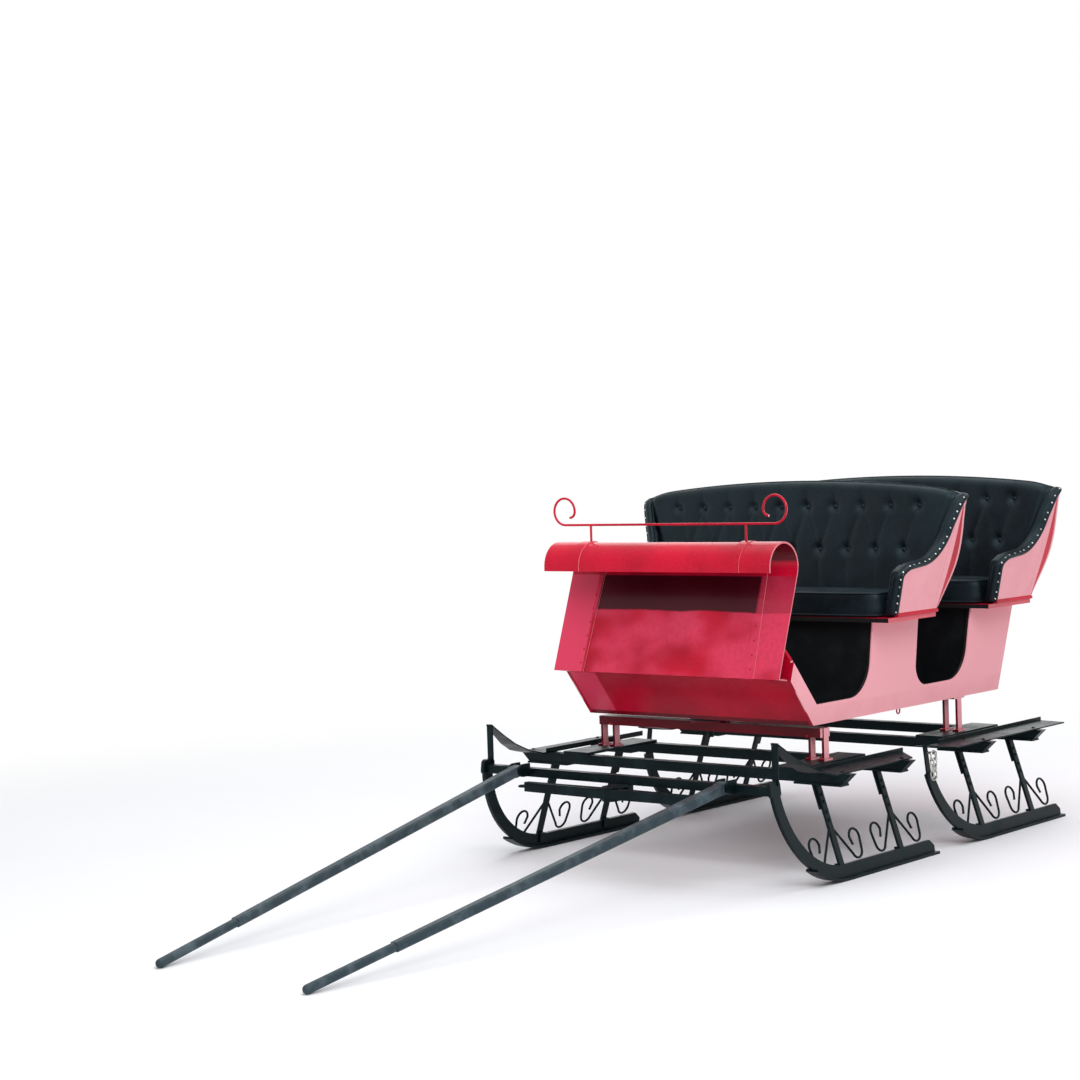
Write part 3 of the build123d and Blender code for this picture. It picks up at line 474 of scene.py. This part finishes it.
# Meshes
def mesh_object(name, verts, faces, mat):
    """Smooth-shaded object with its faces turned outward."""
    mesh = bpy.data.meshes.new(name)
    mesh.from_pydata([tuple(v) for v in verts], [], faces)
    mesh.validate()
    obj = bpy.data.objects.new(name, mesh)
    bpy.context.scene.collection.objects.link(obj)
    mesh.materials.append(mat)
    for f in mesh.polygons:
        f.use_smooth = True
    bm = bmesh.new()
    bm.from_mesh(mesh)
    bmesh.ops.recalc_face_normals(bm, faces=bm.faces)
    bm.to_mesh(mesh)
    bm.free()
    return obj


def join_rings(faces, first, second, count):
    """Faces between two rings of points, given by where each ring starts."""
    for k in range(count):
        m = (k + 1) % count
        faces.append((first + k, first + m, second + m, second + k))


def slab_faces(rows, cols):
    """Faces of a grid of points, of its copy behind it, and of the edge that joins them."""
    w = cols + 1
    behind = (rows + 1) * w
    faces = []
    for j in range(rows):
        for i in range(cols):
            a = j * w + i
            b = behind + a
            faces.append((a, a + 1, a + w + 1, a + w))
            faces.append((b, b + w, b + w + 1, b + 1))
    ring = list(range(w)) + [j * w + cols for j in range(1, rows + 1)]
    ring += [rows * w + i for i in range(cols - 1, -1, -1)] + [j * w for j in range(rows - 1, 0, -1)]
    for a, b in zip(ring, ring[1:] + ring[:1]):
        faces.append((a, b, behind + b, behind + a))
    return faces


def soft_copy(name, node, voxel, rounds, mat):
    """A CAD pad's solid, remeshed and smoothed to soft edges."""
    mesh = nodes[node].data.copy()
    obj = bpy.data.objects.new(name, mesh)
    bpy.context.scene.collection.objects.link(obj)
    mesh.materials.clear()
    mesh.materials.append(mat)
    mod = obj.modifiers.new("remesh", "REMESH")
    mod.mode = "VOXEL"
    mod.voxel_size = voxel
    mod.use_smooth_shade = True
    smooth = obj.modifiers.new("smooth", "SMOOTH")
    smooth.factor = 0.5
    smooth.iterations = rounds
    dg = bpy.context.evaluated_depsgraph_get()
    baked = bpy.data.meshes.new_from_object(obj.evaluated_get(dg))
    obj.modifiers.clear()
    obj.data = baked
    return obj


def tube(name, points, radius, mat, closed=False, sides=10):
    """Round bead along points in metres."""
    verts, faces = [], []
    count = len(points)
    for i, p in enumerate(points):
        a = points[(i - 1) % count] if closed or i else points[i]
        b = points[(i + 1) % count] if closed or i < count - 1 else points[i]
        along = (b - a).normalized()
        side = along.cross(Vector((0, 0, 1)))
        if side.length < 0.1:
            side = along.cross(Vector((0, 1, 0)))
        side.normalize()
        up = side.cross(along).normalized()
        for k in range(sides):
            t = 2 * math.pi * k / sides
            verts.append(p + (side * math.cos(t) + up * math.sin(t)) * radius)
    for i in range(count if closed else count - 1):
        join_rings(faces, i * sides, (i + 1) % count * sides, sides)
    if not closed:
        faces.append(tuple(range(sides)))
        faces.append(tuple((count - 1) * sides + k for k in reversed(range(sides))))
    return mesh_object(name, verts, faces, mat)


def domes(name, spots, radius, high, mat, rings=4, sides=12):
    """Many small round heads in one mesh. spots are (place, outward direction)."""
    verts, faces = [], []
    for place, out in spots:
        out = out.normalized()
        side = out.cross(Vector((0.3, 0.5, 0.8))).normalized()
        up = out.cross(side)
        base = len(verts)
        for r in range(rings):
            t = 0.5 * math.pi * r / rings
            for k in range(sides):
                a = 2 * math.pi * k / sides
                flat = (side * math.cos(a) + up * math.sin(a)) * radius * math.cos(t)
                verts.append(place + flat + out * high * math.sin(t))
        verts.append(place + out * high)
        top = len(verts) - 1
        for r in range(rings - 1):
            join_rings(faces, base + r * sides, base + (r + 1) * sides, sides)
        last = base + (rings - 1) * sides
        for k in range(sides):
            faces.append((last + k, last + (k + 1) % sides, top))
        faces.append(tuple(base + k for k in reversed(range(sides))))
    return mesh_object(name, verts, faces, mat)


def arc3(a, m, b, steps):
    """Points of the circle through three points in a plane, from a to b."""
    ax, ay = a
    bx, by = m
    cx, cy = b
    d = 2 * (ax * (by - cy) + bx * (cy - ay) + cx * (ay - by))
    aa = ax * ax + ay * ay
    bb = bx * bx + by * by
    cc = cx * cx + cy * cy
    ux = (aa * (by - cy) + bb * (cy - ay) + cc * (ay - by)) / d
    uy = (aa * (cx - bx) + bb * (ax - cx) + cc * (bx - ax)) / d
    r = math.hypot(ax - ux, ay - uy)
    t0 = math.atan2(ay - uy, ax - ux)
    tm = math.atan2(by - uy, bx - ux)
    t1 = math.atan2(cy - uy, cx - ux)
    turn = (t1 - t0) % (2 * math.pi)
    if (tm - t0) % (2 * math.pi) > turn:
        turn -= 2 * math.pi
    return [(ux + r * math.cos(t0 + turn * i / steps), uy + r * math.sin(t0 + turn * i / steps))
            for i in range(steps + 1)]


def wing_edge():
    """Profile of a wing's edge in (x, z), from the seat board up and back to its head."""
    front = SEAT_FRONT + WING_LEAN * (ARM_Z - DECK_Z)
    arm_end = (ARM_END_X, ARM_Z + ARM_RISE)
    mid, end, neck, crown, last = [(x, ARM_Z + up) for x, up in (*SWEEP, NECK, *HEAD)]
    path = [(SEAT_FRONT, DECK_Z), (front, ARM_Z), (front + ARM_NOSE[0], ARM_Z + ARM_NOSE[1]), arm_end]
    path += arc3(arm_end, mid, end, 14)[1:]
    path += [neck]
    path += arc3(neck, crown, last, 6)[1:]
    return path


def spaced(path, step):
    """Points along a path at even steps."""
    out, left = [], 0.0
    for (x0, z0), (x1, z1) in zip(path, path[1:]):
        run = math.hypot(x1 - x0, z1 - z0)
        d = left
        while d < run:
            t = d / run
            out.append((x0 + (x1 - x0) * t, z0 + (z1 - z0) * t))
            d += step
        left = d - run
    return out


def wing_y(z, inset):
    """Half width between the wings at a height, inset from their outer faces."""
    return SEAT_HALF + FLARE * (z - DECK_Z) - inset


# Tufted backs, in millimetres
UP_Z, LOW_Z = 1298.0, 1130.0         # the two rows of buttons
BUTTON_STEP = 126.0
FOLD_UP, FOLD_DOWN = 110.0, 280.0    # folds above the upper row and below the lower one
FOLD_REACH, FOLD_DEEP = 52.0, 6.5
PIT_REACH, PIT_DEEP = 20.0, 13.0
TOP_ROUND, TOP_BACK = 34.0, 30.0     # rounding of the top: how far down and how far back
GROOVE_IN, GROOVE_WIDE, GROOVE_DEEP = 47.0, 15.0, 17.0
SHOULDER_Y = 610.0                   # the top drops off outside this


def back_creases():
    """Buttons and the folds between them, as (y, z) segments."""
    ups = [((i + 0.5) * BUTTON_STEP, UP_Z) for i in range(-5, 5)]
    lows = [(i * BUTTON_STEP, LOW_Z) for i in range(-4, 5)]
    lines = []
    for y, z in ups:
        lines.append(((y, z), (y * 1.02, z + FOLD_UP)))
        for ly, lz in lows:
            if abs(abs(ly - y) - BUTTON_STEP / 2) < 1:
                lines.append(((y, z), (ly, lz)))
    for y, z in lows:
        lines.append(((y, z), (y, z - FOLD_DOWN)))
    return ups + lows, lines


def segment_distance(p, a, b):
    """Distance from a point to the segment from a to b, in a plane."""
    ax, ay = a
    dx, dy = b[0] - ax, b[1] - ay
    t = ((p[0] - ax) * dx + (p[1] - ay) * dy) / (dx * dx + dy * dy)
    t = min(1.0, max(0.0, t))
    return math.hypot(p[0] - ax - dx * t, p[1] - ay - dy * t)


def share(value):
    """The value, held between 0 and 1."""
    return min(1.0, max(0.0, value))


def round_off(value):
    """Height of a quarter circle of radius 1 at a share of the way along it."""
    return math.sqrt(max(0.0, 1.0 - (1.0 - value) ** 2))


def back_top(y, proud):
    """Height of the arched top edge at y, rounded down at its outer ends."""
    run = min(1.0, abs(y) / BACK_END_Y)
    shoulder = max(0.0, abs(y) - SHOULDER_Y) / (BACK_END_Y - SHOULDER_Y)
    return BACK_MID_Z + proud - (BACK_MID_Z - BACK_END_Z) * run * run - 13.0 * shoulder ** 2.2


def tufted_back(name, node, shift):
    """Closed pad: a front face with folds and buttons, a rounded top edge and a flat rear."""
    buttons, lines = back_creases()
    cols, rows = 200, 84
    low = DECK_Z + 1.0
    inset = SHELL + 1.0
    verts = []
    for j in range(rows + 1):
        v = j / rows
        for i in range(cols + 1):
            u = 2.0 * i / cols - 1.0
            y = u * (wing_y(low + v * (BACK_MID_Z - low), inset) - 0.5)
            top = back_top(y, PAD_PROUD - 1.0)
            z = low + v * (top - low)
            y = u * (wing_y(z, inset) - 0.5)
            front = BACK_FOOT - PAD_LEAN * (z - low)
            fold = min(segment_distance((y, z), a, b) for a, b in lines)
            dot = min(math.hypot(y - by, z - bz) for by, bz in buttons)
            puff = round_off(min(1.0, fold / FOLD_REACH))
            pit = math.exp(-(dot / PIT_REACH) ** 2)
            fade = share((top - z - 10.0) / 50.0)
            ends = share((1.0 - abs(u)) * 12.0)
            reach = 1.0 if z > LOW_Z else 0.75
            depth = (-FOLD_DEEP * reach * (1.0 - puff) - PIT_DEEP * pit) * fade * (0.3 + 0.7 * ends)
            gap = (wing_y(z, GROOVE_IN) - abs(y)) / GROOVE_WIDE
            depth -= GROOVE_DEEP * math.exp(-max(0.0, gap) ** 2)
            crown = -TOP_BACK * (1.0 - round_off(share((top - z) / TOP_ROUND)))
            wave = 1.6 * noise.noise(Vector((y * 0.011, z * 0.013, shift * 0.01)))
            verts.append(at(shift + front + depth + crown + wave, y, z))
    rear_x = at(shift + BACK_REAR, 0, 0).x
    verts += [Vector((rear_x, v.y, v.z)) for v in verts]
    obj = mesh_object(name, verts, slab_faces(rows, cols), VINYL)
    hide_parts(node)
    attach(obj, "body")
    spots = []
    for y, z in buttons:
        x = shift + BACK_FOOT - PAD_LEAN * (z - low) - 17.0
        spots.append((at(x, y, z), Vector((1, 0, PAD_LEAN))))
    knobs = domes(name + "_buttons", spots, 0.0095, 0.0055, VINYL)
    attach(knobs, "body")


# Levels of a cushion's sides: share of its half height, and size
CUSHION_LEVELS = [(-1.0, 0.985), (-0.86, 1.0), (-0.3, 1.0), (0.3, 1.0), (0.66, 1.0), (0.80, 0.985)]
CUSHION_EDGE = 0.985
CUSHION_SQUARE = 7.0                 # power of its rounded outline


def cushion_outline(count):
    """Points round a square with round corners."""
    loop = []
    for k in range(count):
        t = 2 * math.pi * k / count
        c, s = math.cos(t), math.sin(t)
        r = (abs(c) ** CUSHION_SQUARE + abs(s) ** CUSHION_SQUARE) ** (-1 / CUSHION_SQUARE)
        loop.append((r * c, r * s))
    return loop


def seat_cushion(name, node, shift):
    """Crowned cushion with piping round its top and bottom edges."""
    lo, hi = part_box(node)
    cx, cy, cz = (lo + hi) / 2
    hx, hy, hz = (hi - lo) / 2
    n = 240
    loop = cushion_outline(n)
    verts, faces = [], []
    for up, size in CUSHION_LEVELS:
        dent = 1.0 - 0.008 * (1 - abs(up))
        for u, v in loop:
            verts.append(Vector((cx + hx * u * size * dent, cy + hy * v * size, cz + hz * up)))
    base = (len(CUSHION_LEVELS) - 1) * n
    for j in range(len(CUSHION_LEVELS) - 1):
        join_rings(faces, j * n, (j + 1) * n, n)
    faces.append(tuple(reversed(range(n))))
    steps = 12
    for r in range(1, steps):
        f = 1.0 - r / steps
        for u, v in loop:
            x, y = u * CUSHION_EDGE * f, v * CUSHION_EDGE * f
            crown = (1 - abs(x) ** 3) * (1 - abs(y) ** 5)
            sag = 0.036 * noise.noise(Vector((x * 2.1, y * 5.3, shift * 0.01)))
            z = min(0.80 + 0.19 * crown + sag, 1.0)
            verts.append(Vector((cx + hx * x, cy + hy * y, cz + hz * z)))
        join_rings(faces, base + (r - 1) * n, base + r * n, n)
    faces.append(tuple(base + (steps - 1) * n + k for k in range(n)))
    obj = mesh_object(name, verts, faces, VINYL)
    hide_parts(node)
    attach(obj, "body")
    for label, up in (("top", 0.76), ("foot", -0.84)):
        ring = [Vector((cx + hx * u * CUSHION_EDGE, cy + hy * v * 0.995, cz + hz * up)) for u, v in loop]
        bead = tube(name + "_piping_" + label, ring, 0.0042, VINYL, closed=True, sides=8)
        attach(bead, "body")


def smoothed(path, step, reach):
    """Path resampled at even steps, with its corners rounded by a moving average."""
    pts = spaced(path, step)
    out = []
    for i in range(len(pts)):
        r = min(reach, i, len(pts) - 1 - i)
        part = pts[i - r:i + r + 1]
        out.append((sum(q[0] for q in part) / len(part), sum(q[1] for q in part) / len(part)))
    return out


def outward(path, i):
    """Direction square to a wing's edge, away from the wing, in (x, z)."""
    x0, z0 = path[max(0, i - 1)]
    x1, z1 = path[min(len(path) - 1, i + 1)]
    run = math.hypot(x1 - x0, z1 - z0)
    return (z1 - z0) / run, -(x1 - x0) / run


# Section of the padded roll on a wing's edge: inward from the outer face, and height above the edge
ROLL = [(-2.0, -9.0), (-2.5, -1.0), (-0.5, 5.0), (4.0, 7.5), (8.0, 7.0), (11.0, 10.0), (17.0, 14.5),
        (25.0, 17.0), (33.0, 16.0), (40.0, 11.0), (44.0, 3.0), (46.0, -8.0), (46.0, -22.0), (15.0, -22.0),
        (15.0, -9.0)]
ROLL_CORE = (20.0, -6.0)             # point that the section shrinks to at the roll's end
ROLL_END_X = -664.0
ROLL_STEP = 7.0
WELT_IN, WELT_UP = 46.0, 3.0
NAIL_IN, NAIL_UP = 5.0, 6.0


def edge_roll(name, shift, side):
    """Vinyl roll that caps a wing's edge from the seat board to the back, with its welt and nails."""
    path = smoothed(wing_edge(), ROLL_STEP, 2)
    path = [q for q in path if q[0] > ROLL_END_X and q[1] > DECK_Z + 1]
    square = [outward(path, i) for i in range(len(path))]

    def on_edge(i, inward, up):
        (x, z), (nx, nz) = path[i], square[i]
        return at(shift + x + nx * up, side * (wing_y(z, 0.0) - inward), z + nz * up)

    verts, faces = [], []
    n = len(ROLL)
    for i, (x, z) in enumerate(path):
        left = min(i, len(path) - 1 - i)
        ending = max(0.0, 1.0 - left / 6.0) if i > len(path) / 2 else 0.0
        full = math.sqrt(1.0 - 0.9 * ending * ending)
        for w, h in ROLL:
            w = ROLL_CORE[0] + (w - ROLL_CORE[0]) * full
            lift = ROLL_CORE[1] + (h - ROLL_CORE[1]) * full
            soft = 1.0 + 0.06 * noise.noise(Vector((x * 0.02, z * 0.02, w * 0.02)))
            verts.append(on_edge(i, w, lift * soft))
    for i in range(len(path) - 1):
        join_rings(faces, i * n, (i + 1) * n, n)
    faces.append(tuple(range(n)))
    faces.append(tuple((len(path) - 1) * n + k for k in reversed(range(n))))
    obj = mesh_object(name, verts, faces, VINYL)
    sub = obj.modifiers.new("soft", "SUBSURF")
    sub.levels = 1
    sub.render_levels = 1
    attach(obj, "body")
    welt = [on_edge(i, WELT_IN, WELT_UP) for i in range(len(path) - 6)]
    bead = tube(name + "_welt", welt, 0.0034, VINYL, sides=8)
    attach(bead, "body")
    spots = []
    wait = 1
    for i in range(len(path)):
        wait -= 1
        if wait <= 0 and 1 < i < len(path) - 3:
            nx, nz = square[i]
            spots.append((on_edge(i, NAIL_IN, NAIL_UP), Vector((nx, side * 0.35, nz))))
            wait = rnd.choice((4, 4, 5, 5, 6))
    nails = domes(name + "_nails", spots, 0.0042, 0.003, BRIGHT)
    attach(nails, "body")


def arm_pad(name, node, shift, side):
    """Soft pad inside a wing, and the roll along the wing's edge."""
    obj = soft_copy(name, node, 0.005, 14, VINYL)
    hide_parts(node)
    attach(obj, "body")
    edge_roll(name + "_roll", shift, side)


def swell(z, foot, belly, head):
    """A size of the tub that grows from the seat board to the belly and eases off above it."""
    if z <= BELLY_Z:
        return foot + (belly - foot) * math.sin(0.5 * math.pi * (z - DECK_Z) / (BELLY_Z - DECK_Z))
    return belly + (head - belly) * (1 - math.cos(math.pi * (z - BELLY_Z) / (TUB_TOP - BELLY_Z))) / 2


def ruled(z, foot, belly, head):
    """The same size on the straight strips between the tub's sections."""
    low, high = (DECK_Z, BELLY_Z) if z < BELLY_Z else (BELLY_Z, TUB_TOP)
    step = (high - low) / TUB_STEPS
    below = low + step * min(TUB_STEPS - 1, int((z - low) / step))
    part = (z - below) / step
    return swell(below, foot, belly, head) * (1 - part) + swell(below + step, foot, belly, head) * part


def wing_edge_x(z):
    """How far back a wing's edge is at a height."""
    return min(x for x, edge_z in spaced(wing_edge(), 4.0) if abs(edge_z - z) < 6.0)


SKIN_LOW = DECK_Z + 17.0             # the corner shell's foot and head
SKIN_TOP = 1288.0
SKIN_TIGHT = 0.42                    # how much tighter its corner is at mid-height
SKIN_REACH = 24.0                    # how far it goes on past the corner's curve
SKIN_CLEAR = 10.0                    # and how far it stays behind the wing's edge


def corner_skin(name, shift, side):
    """Thin shell over a seat's rear corner, with a tighter radius than the solid's at mid-height."""
    rows, cols = 44, 36
    outer, inner = [], []
    for j in range(rows + 1):
        z = SKIN_LOW + (SKIN_TOP - SKIN_LOW) * j / rows
        radius = ruled(z, *CORNER_R)
        back = ruled(z, *TUB_X)
        spread = radius + min(SKIN_REACH, wing_edge_x(z) - SKIN_CLEAR - back - radius)
        tight = radius * (1.0 - SKIN_TIGHT * math.sin(math.pi * j / rows) ** 0.8)
        middle = spread - tight
        for i in range(cols + 1):
            a = 0.5 * math.pi * i / cols
            s, c = math.sin(a), math.cos(a)
            if spread * min(s, c) <= middle * max(s, c):
                reach = spread / max(s, c)
            else:
                along = middle * (s + c)
                reach = along + math.sqrt(along * along - 2 * middle * middle + tight * tight)
            for points, far in ((outer, reach + 0.3), (inner, reach - 4.0)):
                points.append(at(shift + back + spread - s * far, side * (wing_y(z, spread) + c * far), z))
    obj = mesh_object(name, outer + inner, slab_faces(rows, cols), RED_SHELL)
    obj.data.set_sharp_from_angle(angle=math.radians(50))
    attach(obj, "body")


for seat, shift in (("front_seat", 0.0), ("rear_seat", -PITCH)):
    corner_skin(seat + "_corner_left", shift, 1)
    corner_skin(seat + "_corner_right", shift, -1)
    tufted_back(seat + "_tufted_back", seat + "_back_pad", shift)
    seat_cushion(seat + "_soft_cushion", seat + "_cushion", shift)
    arm_pad(seat + "_soft_arm_left", seat + "_arm_left", shift, 1)
    arm_pad(seat + "_soft_arm_right", seat + "_arm_right", shift, -1)


# Bolt heads, set on the CAD faces that a ray finds
def spot_on(node, start, way):
    """Place and normal where a ray meets a CAD piece, or None."""
    hit, place, normal, _ = nodes[node].ray_cast(start, way)
    return (place, normal) if hit else None


def bolts(name, body, mat, radius, high, asks):
    """asks are (node, start, direction)."""
    spots = [spot for spot in (spot_on(*ask) for ask in asks) if spot]
    heads = domes(name, spots, radius, high, mat, rings=3, sides=10)
    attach(heads, body)


DOWN = Vector((0, 0, -1))
BACKWARD = Vector((-1, 0, 0))
SIDES = (("left", 1), ("right", -1))
KNEE_BOLT_Z = (300.0, 276.0, 240.0, 212.0)
STEP_BOLT_Y = (630.0, 712.0)
PLATE_BOLT_Y = (545.0, 575.0)
OVER_BOB_Z = 900.0
OVER_POSTS_Z = 420.0
REAR_POST_X = -965.0
RIVET_Z = 745.0
RIVET_STEP = 50.0

for bob, body, dx in (("front", "front_bob", 0.0), ("rear", "body", -BOB_PITCH)):
    asks = []
    for label, side in SIDES:
        inward = Vector((0, -side, 0))
        for kx in (-KNEE_X, KNEE_X):
            for z in KNEE_BOLT_Z:
                asks.append((f"{bob}_knees_{label}", at(dx + kx, side * 900, z), inward))
            for y in STEP_BOLT_Y:
                asks.append((f"{bob}_step_board_{label}", at(dx + kx, side * y, OVER_BOB_Z), DOWN))
            for y in PLATE_BOLT_Y:
                asks.append((f"{bob}_side_plate_{label}", at(dx + kx, side * y, OVER_BOB_Z), DOWN))
    bolts(f"{bob}_bob_bolts", body, BLACK, 0.0075, 0.005, asks)

asks = []
for side in (-1, 1):
    for y in POST_Y:
        for off in POST_OFF:
            asks.append(("front_bolster", at(off, side * y, OVER_POSTS_Z), DOWN))
    asks.append(("front_bolster", at(300, side * POST_Y[0], 480), BACKWARD))
bolts("bolster_bolts", "front_bob", RED, 0.006, 0.004, asks)

asks = []
for label, side in SIDES:
    for y in POST_Y:
        for off in POST_OFF:
            asks.append((f"rear_posts_{label}", at(REAR_POST_X + off, side * y, OVER_POSTS_Z), DOWN))
bolts("rear_post_bolts", "body", RED, 0.006, 0.004, asks)

asks = []
for side in (-1, 1):
    for i in range(7):
        z = RIVET_Z + RIVET_STEP * i
        y = RIB_FOOT_Y - (RIB_FOOT_Y - RIB_TOP_Y) * (z - DASH_FOOT_Z) / (DASH_TOP_Z - DASH_FOOT_Z)
        asks.append(("dash", at(300, side * y, z), BACKWARD))
asks.append(("toe_panel", at(400, 70, 630), BACKWARD))
bolts("dash_rivets", "body", RED, 0.0038, 0.0022, asks)


# Floor, world, lamps and camera
def seen_directly(net):
    """1 for what the camera sees, straight or in a mirror or through glass."""
    path = net.add("ShaderNodeLightPath")
    mirrored = net.most(path.outputs["Is Glossy Ray"], path.outputs["Is Transmission Ray"])
    return net.most(path.outputs["Is Camera Ray"], mirrored)


def glowing(net, kind, colour, strength):
    """Shader of one plain light colour."""
    n = net.add(kind)
    n.inputs["Color"].default_value = colour
    n.inputs["Strength"].default_value = strength
    return n.outputs[0]


def blended(net, fac, a, b):
    """Shader that goes from a to b as fac rises."""
    n = net.add("ShaderNodeMixShader")
    for i, value in enumerate((fac, a, b)):
        net.link(value, n.inputs[i])
    return n.outputs[0]


WHITE = (1, 1, 1, 1)
FLOOR_HALF = 40.0
FADE_FROM, FADE_TO = 2.2, 5.5        # the floor turns to plain white between these distances

half = FLOOR_HALF
floor_mesh = bpy.data.meshes.new("floor")
corners = [(-half, -half, 0), (half, -half, 0), (half, half, 0), (-half, half, 0)]
floor_mesh.from_pydata(corners, [], [(0, 1, 2, 3)])
floor = bpy.data.objects.new("floor", floor_mesh)
bpy.context.scene.collection.objects.link(floor)
mat, tree, bsdf = new_material("floor_pale")
net = Net(tree)
net.put(bsdf.inputs["Base Color"], net.mix(net.noise(0.7, 3.0), rgb(240, 240, 242), rgb(246, 246, 248)))
bsdf.inputs["Roughness"].default_value = 0.9
bsdf.inputs["Specular IOR Level"].default_value = 0.1
where = net.split("Object")
away = net.math("SQRT", net.math("ADD", net.times(where[0], where[0]), net.times(where[1], where[1])))
fade = net.times(net.ramp(away, FADE_FROM, FADE_TO), seen_directly(net))
shine = glowing(net, "ShaderNodeEmission", WHITE, 1.0)
net.link(blended(net, fade, bsdf.outputs[0], shine), tree.nodes["Material Output"].inputs[0])
floor_mesh.materials.append(mat)

scene = bpy.context.scene
scene.view_settings.view_transform = "Standard"
world = bpy.data.worlds.new("world")
scene.world = world
world.use_nodes = True
world.node_tree.nodes.clear()
net = Net(world.node_tree)
soft = glowing(net, "ShaderNodeBackground", (0.93, 0.96, 1.0, 1.0), 0.55)
white = glowing(net, "ShaderNodeBackground", WHITE, 1.0)
out = net.add("ShaderNodeOutputWorld")
net.link(blended(net, seen_directly(net), soft, white), out.inputs[0])


def lamp(name, place, target, power, size):
    """Square lamp that points at a target."""
    data = bpy.data.lights.new(name, "AREA")
    data.energy = power
    data.size = size
    obj = bpy.data.objects.new(name, data)
    bpy.context.scene.collection.objects.link(obj)
    obj.location = place
    obj.rotation_euler = (Vector(target) - Vector(place)).to_track_quat("-Z", "Y").to_euler()


lamp("key", (3.5, 4.5, 5.0), (0, 0, 0.7), 260, 4.0)
lamp("top", (-0.5, 0.0, 6.0), (-0.3, 0, 0.6), 170, 6.0)
lamp("rear", (-5.0, -3.0, 4.0), (0, 0, 0.7), 90, 5.0)

CAMERA_AT = (7.039 + FX, 5.110, 1.524)
CAMERA_YAW, CAMERA_PITCH, CAMERA_ROLL = 3.8411, -0.0355, -0.0325

cam_data = bpy.data.cameras.new("camera")
cam_data.sensor_width = 36.0
cam_data.lens = 76.67
cam = bpy.data.objects.new("camera", cam_data)
bpy.context.scene.collection.objects.link(cam)
level = math.cos(CAMERA_PITCH)
ahead = Vector((level * math.cos(CAMERA_YAW), level * math.sin(CAMERA_YAW), math.sin(CAMERA_PITCH)))
right = ahead.cross(Vector((0, 0, 1))).normalized()
up = right.cross(ahead)
across = right * math.cos(CAMERA_ROLL) + up * math.sin(CAMERA_ROLL)
upward = up * math.cos(CAMERA_ROLL) - right * math.sin(CAMERA_ROLL)
turn = Matrix((across, upward, -ahead)).transposed()
cam.matrix_world = Matrix.Translation(Vector(CAMERA_AT)) @ turn.to_4x4()
scene.camera = cam
